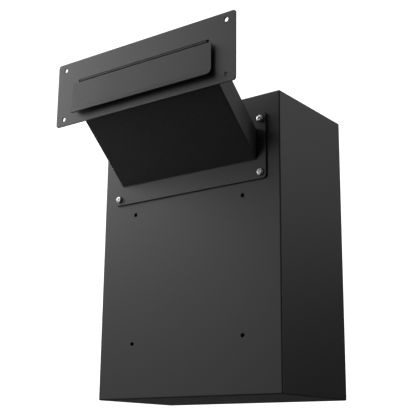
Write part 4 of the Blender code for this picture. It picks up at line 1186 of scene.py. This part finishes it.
class ParcelBoxLook(bpy.types.PropertyGroup):
    """Colours and textures."""
    coat_colour: colour("Coat Colour", "Powder coat", (0.030, 0.030, 0.031))
    coat_roughness: number("Coat Roughness", "Sheen of the coat", 0.50)
    coat_specular: number("Coat Specular", "Strength of the coat's sheen", 0.5)
    bead_size: length("Bead Size", "Grain of the powder coat", 0.00045)
    bead_height: length("Bead Height", "Height of the coat's grain", 0.00004)
    floor_colour: colour("Floor Colour", "Studio floor", (0.86, 0.86, 0.86))


class ParcelBoxStage(bpy.types.PropertyGroup):
    """Camera, lights and floor."""
    azimuth: number("Azimuth", "Camera's turn from straight outdoors, in degrees", 36.67)
    elevation: number("Elevation", "Camera's height angle, in degrees", -14.83)
    roll: number("Roll", "Camera's roll, in degrees", 0.54)
    lens: number("Lens", "Focal length in millimetres", 80.0)
    place: FloatVectorProperty(name="Camera Place", description="Where the camera stands", size=3,
                               subtype="TRANSLATION", default=(0.7476, -1.0361, -0.0684))
    floor_drop: length("Floor Drop", "Floor below the box's underside", 0.45)
    light_scale: number("Light Scale", "Multiplies every light's power", 1.0)
    surround: number("Surround", "Light from the studio's walls", 0.003)
    backdrop: number("Backdrop", "Brightness of the walls to the eye", 1.3)


class BuildPieces:
    """What every piece's operator shares."""
    bl_options = {"REGISTER"}

    def execute(self, context):
        self.build(context.scene.parcel_box_sizes)
        return {"FINISHED"}


class PARCELBOX_OT_box(BuildPieces, bpy.types.Operator):
    """Build the folded box"""
    bl_idname = "parcelbox.box"
    bl_label = "Box"

    def build(self, sizes):
        build_box(sizes)


class PARCELBOX_OT_chute(BuildPieces, bpy.types.Operator):
    """Build the chute's two sleeves and its flange"""
    bl_idname = "parcelbox.chute"
    bl_label = "Chute"

    def build(self, sizes):
        build_flange(sizes)
        sleeve("lower_sleeve", "chute_sleeve_lower", "powder_coat_chute", sizes)
        sleeve("upper_sleeve", "chute_sleeve_upper", "powder_coat_chute", sizes)


class PARCELBOX_OT_fasteners(BuildPieces, bpy.types.Operator):
    """Build the flange's screws and nuts"""
    bl_idname = "parcelbox.fasteners"
    bl_label = "Screws and Nuts"

    def build(self, sizes):
        for number in range(1, 5):
            build_bolt(number, sizes)
            build_nut("flange_nut_%d" % number, "chute_nut_%d" % number, sizes.nut_flats,
                      sizes.bolt_radius + sizes.pin_clearance)


class PARCELBOX_OT_faceplate(BuildPieces, bpy.types.Operator):
    """Build the outdoor faceplate and its rubber buffers"""
    bl_idname = "parcelbox.faceplate"
    bl_label = "Faceplate"

    def build(self, sizes):
        build_faceplate(sizes)
        build_bumper("left")
        build_bumper("right")


class PARCELBOX_OT_flap(BuildPieces, bpy.types.Operator):
    """Build the flap and its hinge"""
    bl_idname = "parcelbox.flap"
    bl_label = "Flap"

    def build(self, sizes):
        build_flap(sizes)
        build_flap_hinge(sizes)


class PARCELBOX_OT_door(BuildPieces, bpy.types.Operator):
    """Build the door, its channel and its hinge"""
    bl_idname = "parcelbox.door"
    bl_label = "Door"

    def build(self, sizes):
        build_door(sizes)
        build_stiffener(sizes)
        build_door_hinge(sizes)


class PARCELBOX_OT_lock(BuildPieces, bpy.types.Operator):
    """Build the cam lock and its key"""
    bl_idname = "parcelbox.lock"
    bl_label = "Lock and Key"

    def build(self, sizes):
        build_lock(sizes)
        build_key(sizes)


def area_light(name, place, target, side, power):
    """A square soft light at a place, aimed at a target."""
    data = bpy.data.lights.new(name, "AREA")
    data.size = side
    data.energy = power
    light = bpy.data.objects.new(name, data)
    bpy.context.scene.collection.objects.link(light)
    turn = (Vector(target) - Vector(place)).to_track_quat("-Z", "Y")
    light.matrix_world = Matrix.Translation(place) @ turn.to_matrix().to_4x4()


class PARCELBOX_OT_stage(bpy.types.Operator):
    """Set up the floor, the surround, the lights and the camera"""
    bl_idname = "parcelbox.stage"
    bl_label = "Stage"

    def execute(self, context):
        stage = context.scene.parcel_box_stage
        self.floor(stage)
        self.surround(context, stage)
        self.lights(stage)
        self.camera(context, stage)
        return {"FINISHED"}

    def floor(self, stage):
        """A large flat floor below the object."""
        mesh = bpy.data.meshes.new("studio_floor")
        corners = [(x, y, -stage.floor_drop) for x, y in corners_of(FLOOR_REACH, FLOOR_REACH)]
        mesh.from_pydata(corners, [], [(0, 2, 3, 1)])
        floor = bpy.data.objects.new("studio_floor", mesh)
        bpy.context.scene.collection.objects.link(floor)
        mesh.materials.append(finish("floor"))

    def surround(self, context, stage):
        """White beyond the floor for the eye, and a dimmer even light for the object."""
        world = bpy.data.worlds.new("studio")
        context.scene.world = world
        world.use_nodes = True
        tree = world.node_tree
        tree.nodes.clear()
        white = (1, 1, 1, 1)
        lit, seen = (node(tree, "ShaderNodeBackground", {"Color": white, "Strength": strength}).outputs[0]
                     for strength in (stage.surround, stage.backdrop))
        camera_ray = node(tree, "ShaderNodeLightPath").outputs["Is Camera Ray"]
        mix = node(tree, "ShaderNodeMixShader", {0: camera_ray, 1: lit, 2: seen})
        node(tree, "ShaderNodeOutputWorld", {"Surface": mix.outputs[0]})

    def lights(self, stage):
        """The softboxes, all aimed at the object."""
        for name, (place, side, power) in SOFTBOXES.items():
            area_light(name, place, LIGHTS_AIM, side, power * stage.light_scale)

    def camera(self, context, stage):
        """The camera's back axis follows the azimuth and elevation, then it rolls about that axis."""
        data = bpy.data.cameras.new("camera")
        data.lens = stage.lens
        data.sensor_width = 36.0
        data.clip_start = 0.01
        camera = bpy.data.objects.new("camera", data)
        context.scene.collection.objects.link(camera)
        az, el, roll = (math.radians(v) for v in (stage.azimuth, stage.elevation, stage.roll))
        back = Vector((math.sin(az) * math.cos(el), -math.cos(az) * math.cos(el), math.sin(el)))
        right = Vector((math.cos(az), math.sin(az), 0.0))
        up = back.cross(right)
        rolled_right = math.cos(roll) * right + math.sin(roll) * up
        rolled_up = math.cos(roll) * up - math.sin(roll) * right
        turn = Matrix((rolled_right, rolled_up, back)).transposed().to_4x4()
        camera.matrix_world = Matrix.Translation(Vector(stage.place)) @ turn
        context.scene.camera = camera
        context.scene.view_settings.view_transform = "Standard"


class PARCELBOX_PT_sidebar(bpy.types.Panel):
    """Sizes, finishes and steps of the drop box"""
    bl_idname = "PARCELBOX_PT_sidebar"
    bl_label = "Drop Box"
    bl_space_type = "VIEW_3D"
    bl_region_type = "UI"
    bl_category = "Drop Box"

    def draw(self, context):
        for label in ("parcel_box_sizes", "parcel_box_look", "parcel_box_stage"):
            group = getattr(context.scene, label)
            box = self.layout.box()
            for prop in group.bl_rna.properties:
                if prop.identifier not in {"rna_type", "name"}:
                    box.prop(group, prop.identifier)
        for operator in STEPS:
            self.layout.operator(operator.bl_idname)


STEPS = (PARCELBOX_OT_box, PARCELBOX_OT_chute, PARCELBOX_OT_fasteners, PARCELBOX_OT_faceplate,
         PARCELBOX_OT_flap, PARCELBOX_OT_door, PARCELBOX_OT_lock, PARCELBOX_OT_stage)
CLASSES = (ParcelBoxSizes, ParcelBoxLook, ParcelBoxStage, *STEPS, PARCELBOX_PT_sidebar)


def register():
    """Registers the classes and hangs their settings on the scene."""
    for cls in CLASSES:
        bpy.utils.register_class(cls)
    bpy.types.Scene.parcel_box_sizes = PointerProperty(type=ParcelBoxSizes)
    bpy.types.Scene.parcel_box_look = PointerProperty(type=ParcelBoxLook)
    bpy.types.Scene.parcel_box_stage = PointerProperty(type=ParcelBoxStage)


def unregister():
    """Takes the settings and the classes away again."""
    del bpy.types.Scene.parcel_box_stage
    del bpy.types.Scene.parcel_box_look
    del bpy.types.Scene.parcel_box_sizes
    for cls in reversed(CLASSES):
        bpy.utils.unregister_class(cls)


def main():
    """Builds everything step by step."""
    register()
    for step in STEPS:
        group, name = step.bl_idname.split(".")
        getattr(getattr(bpy.ops, group), name)()


if __name__ == "__main__":
    main()
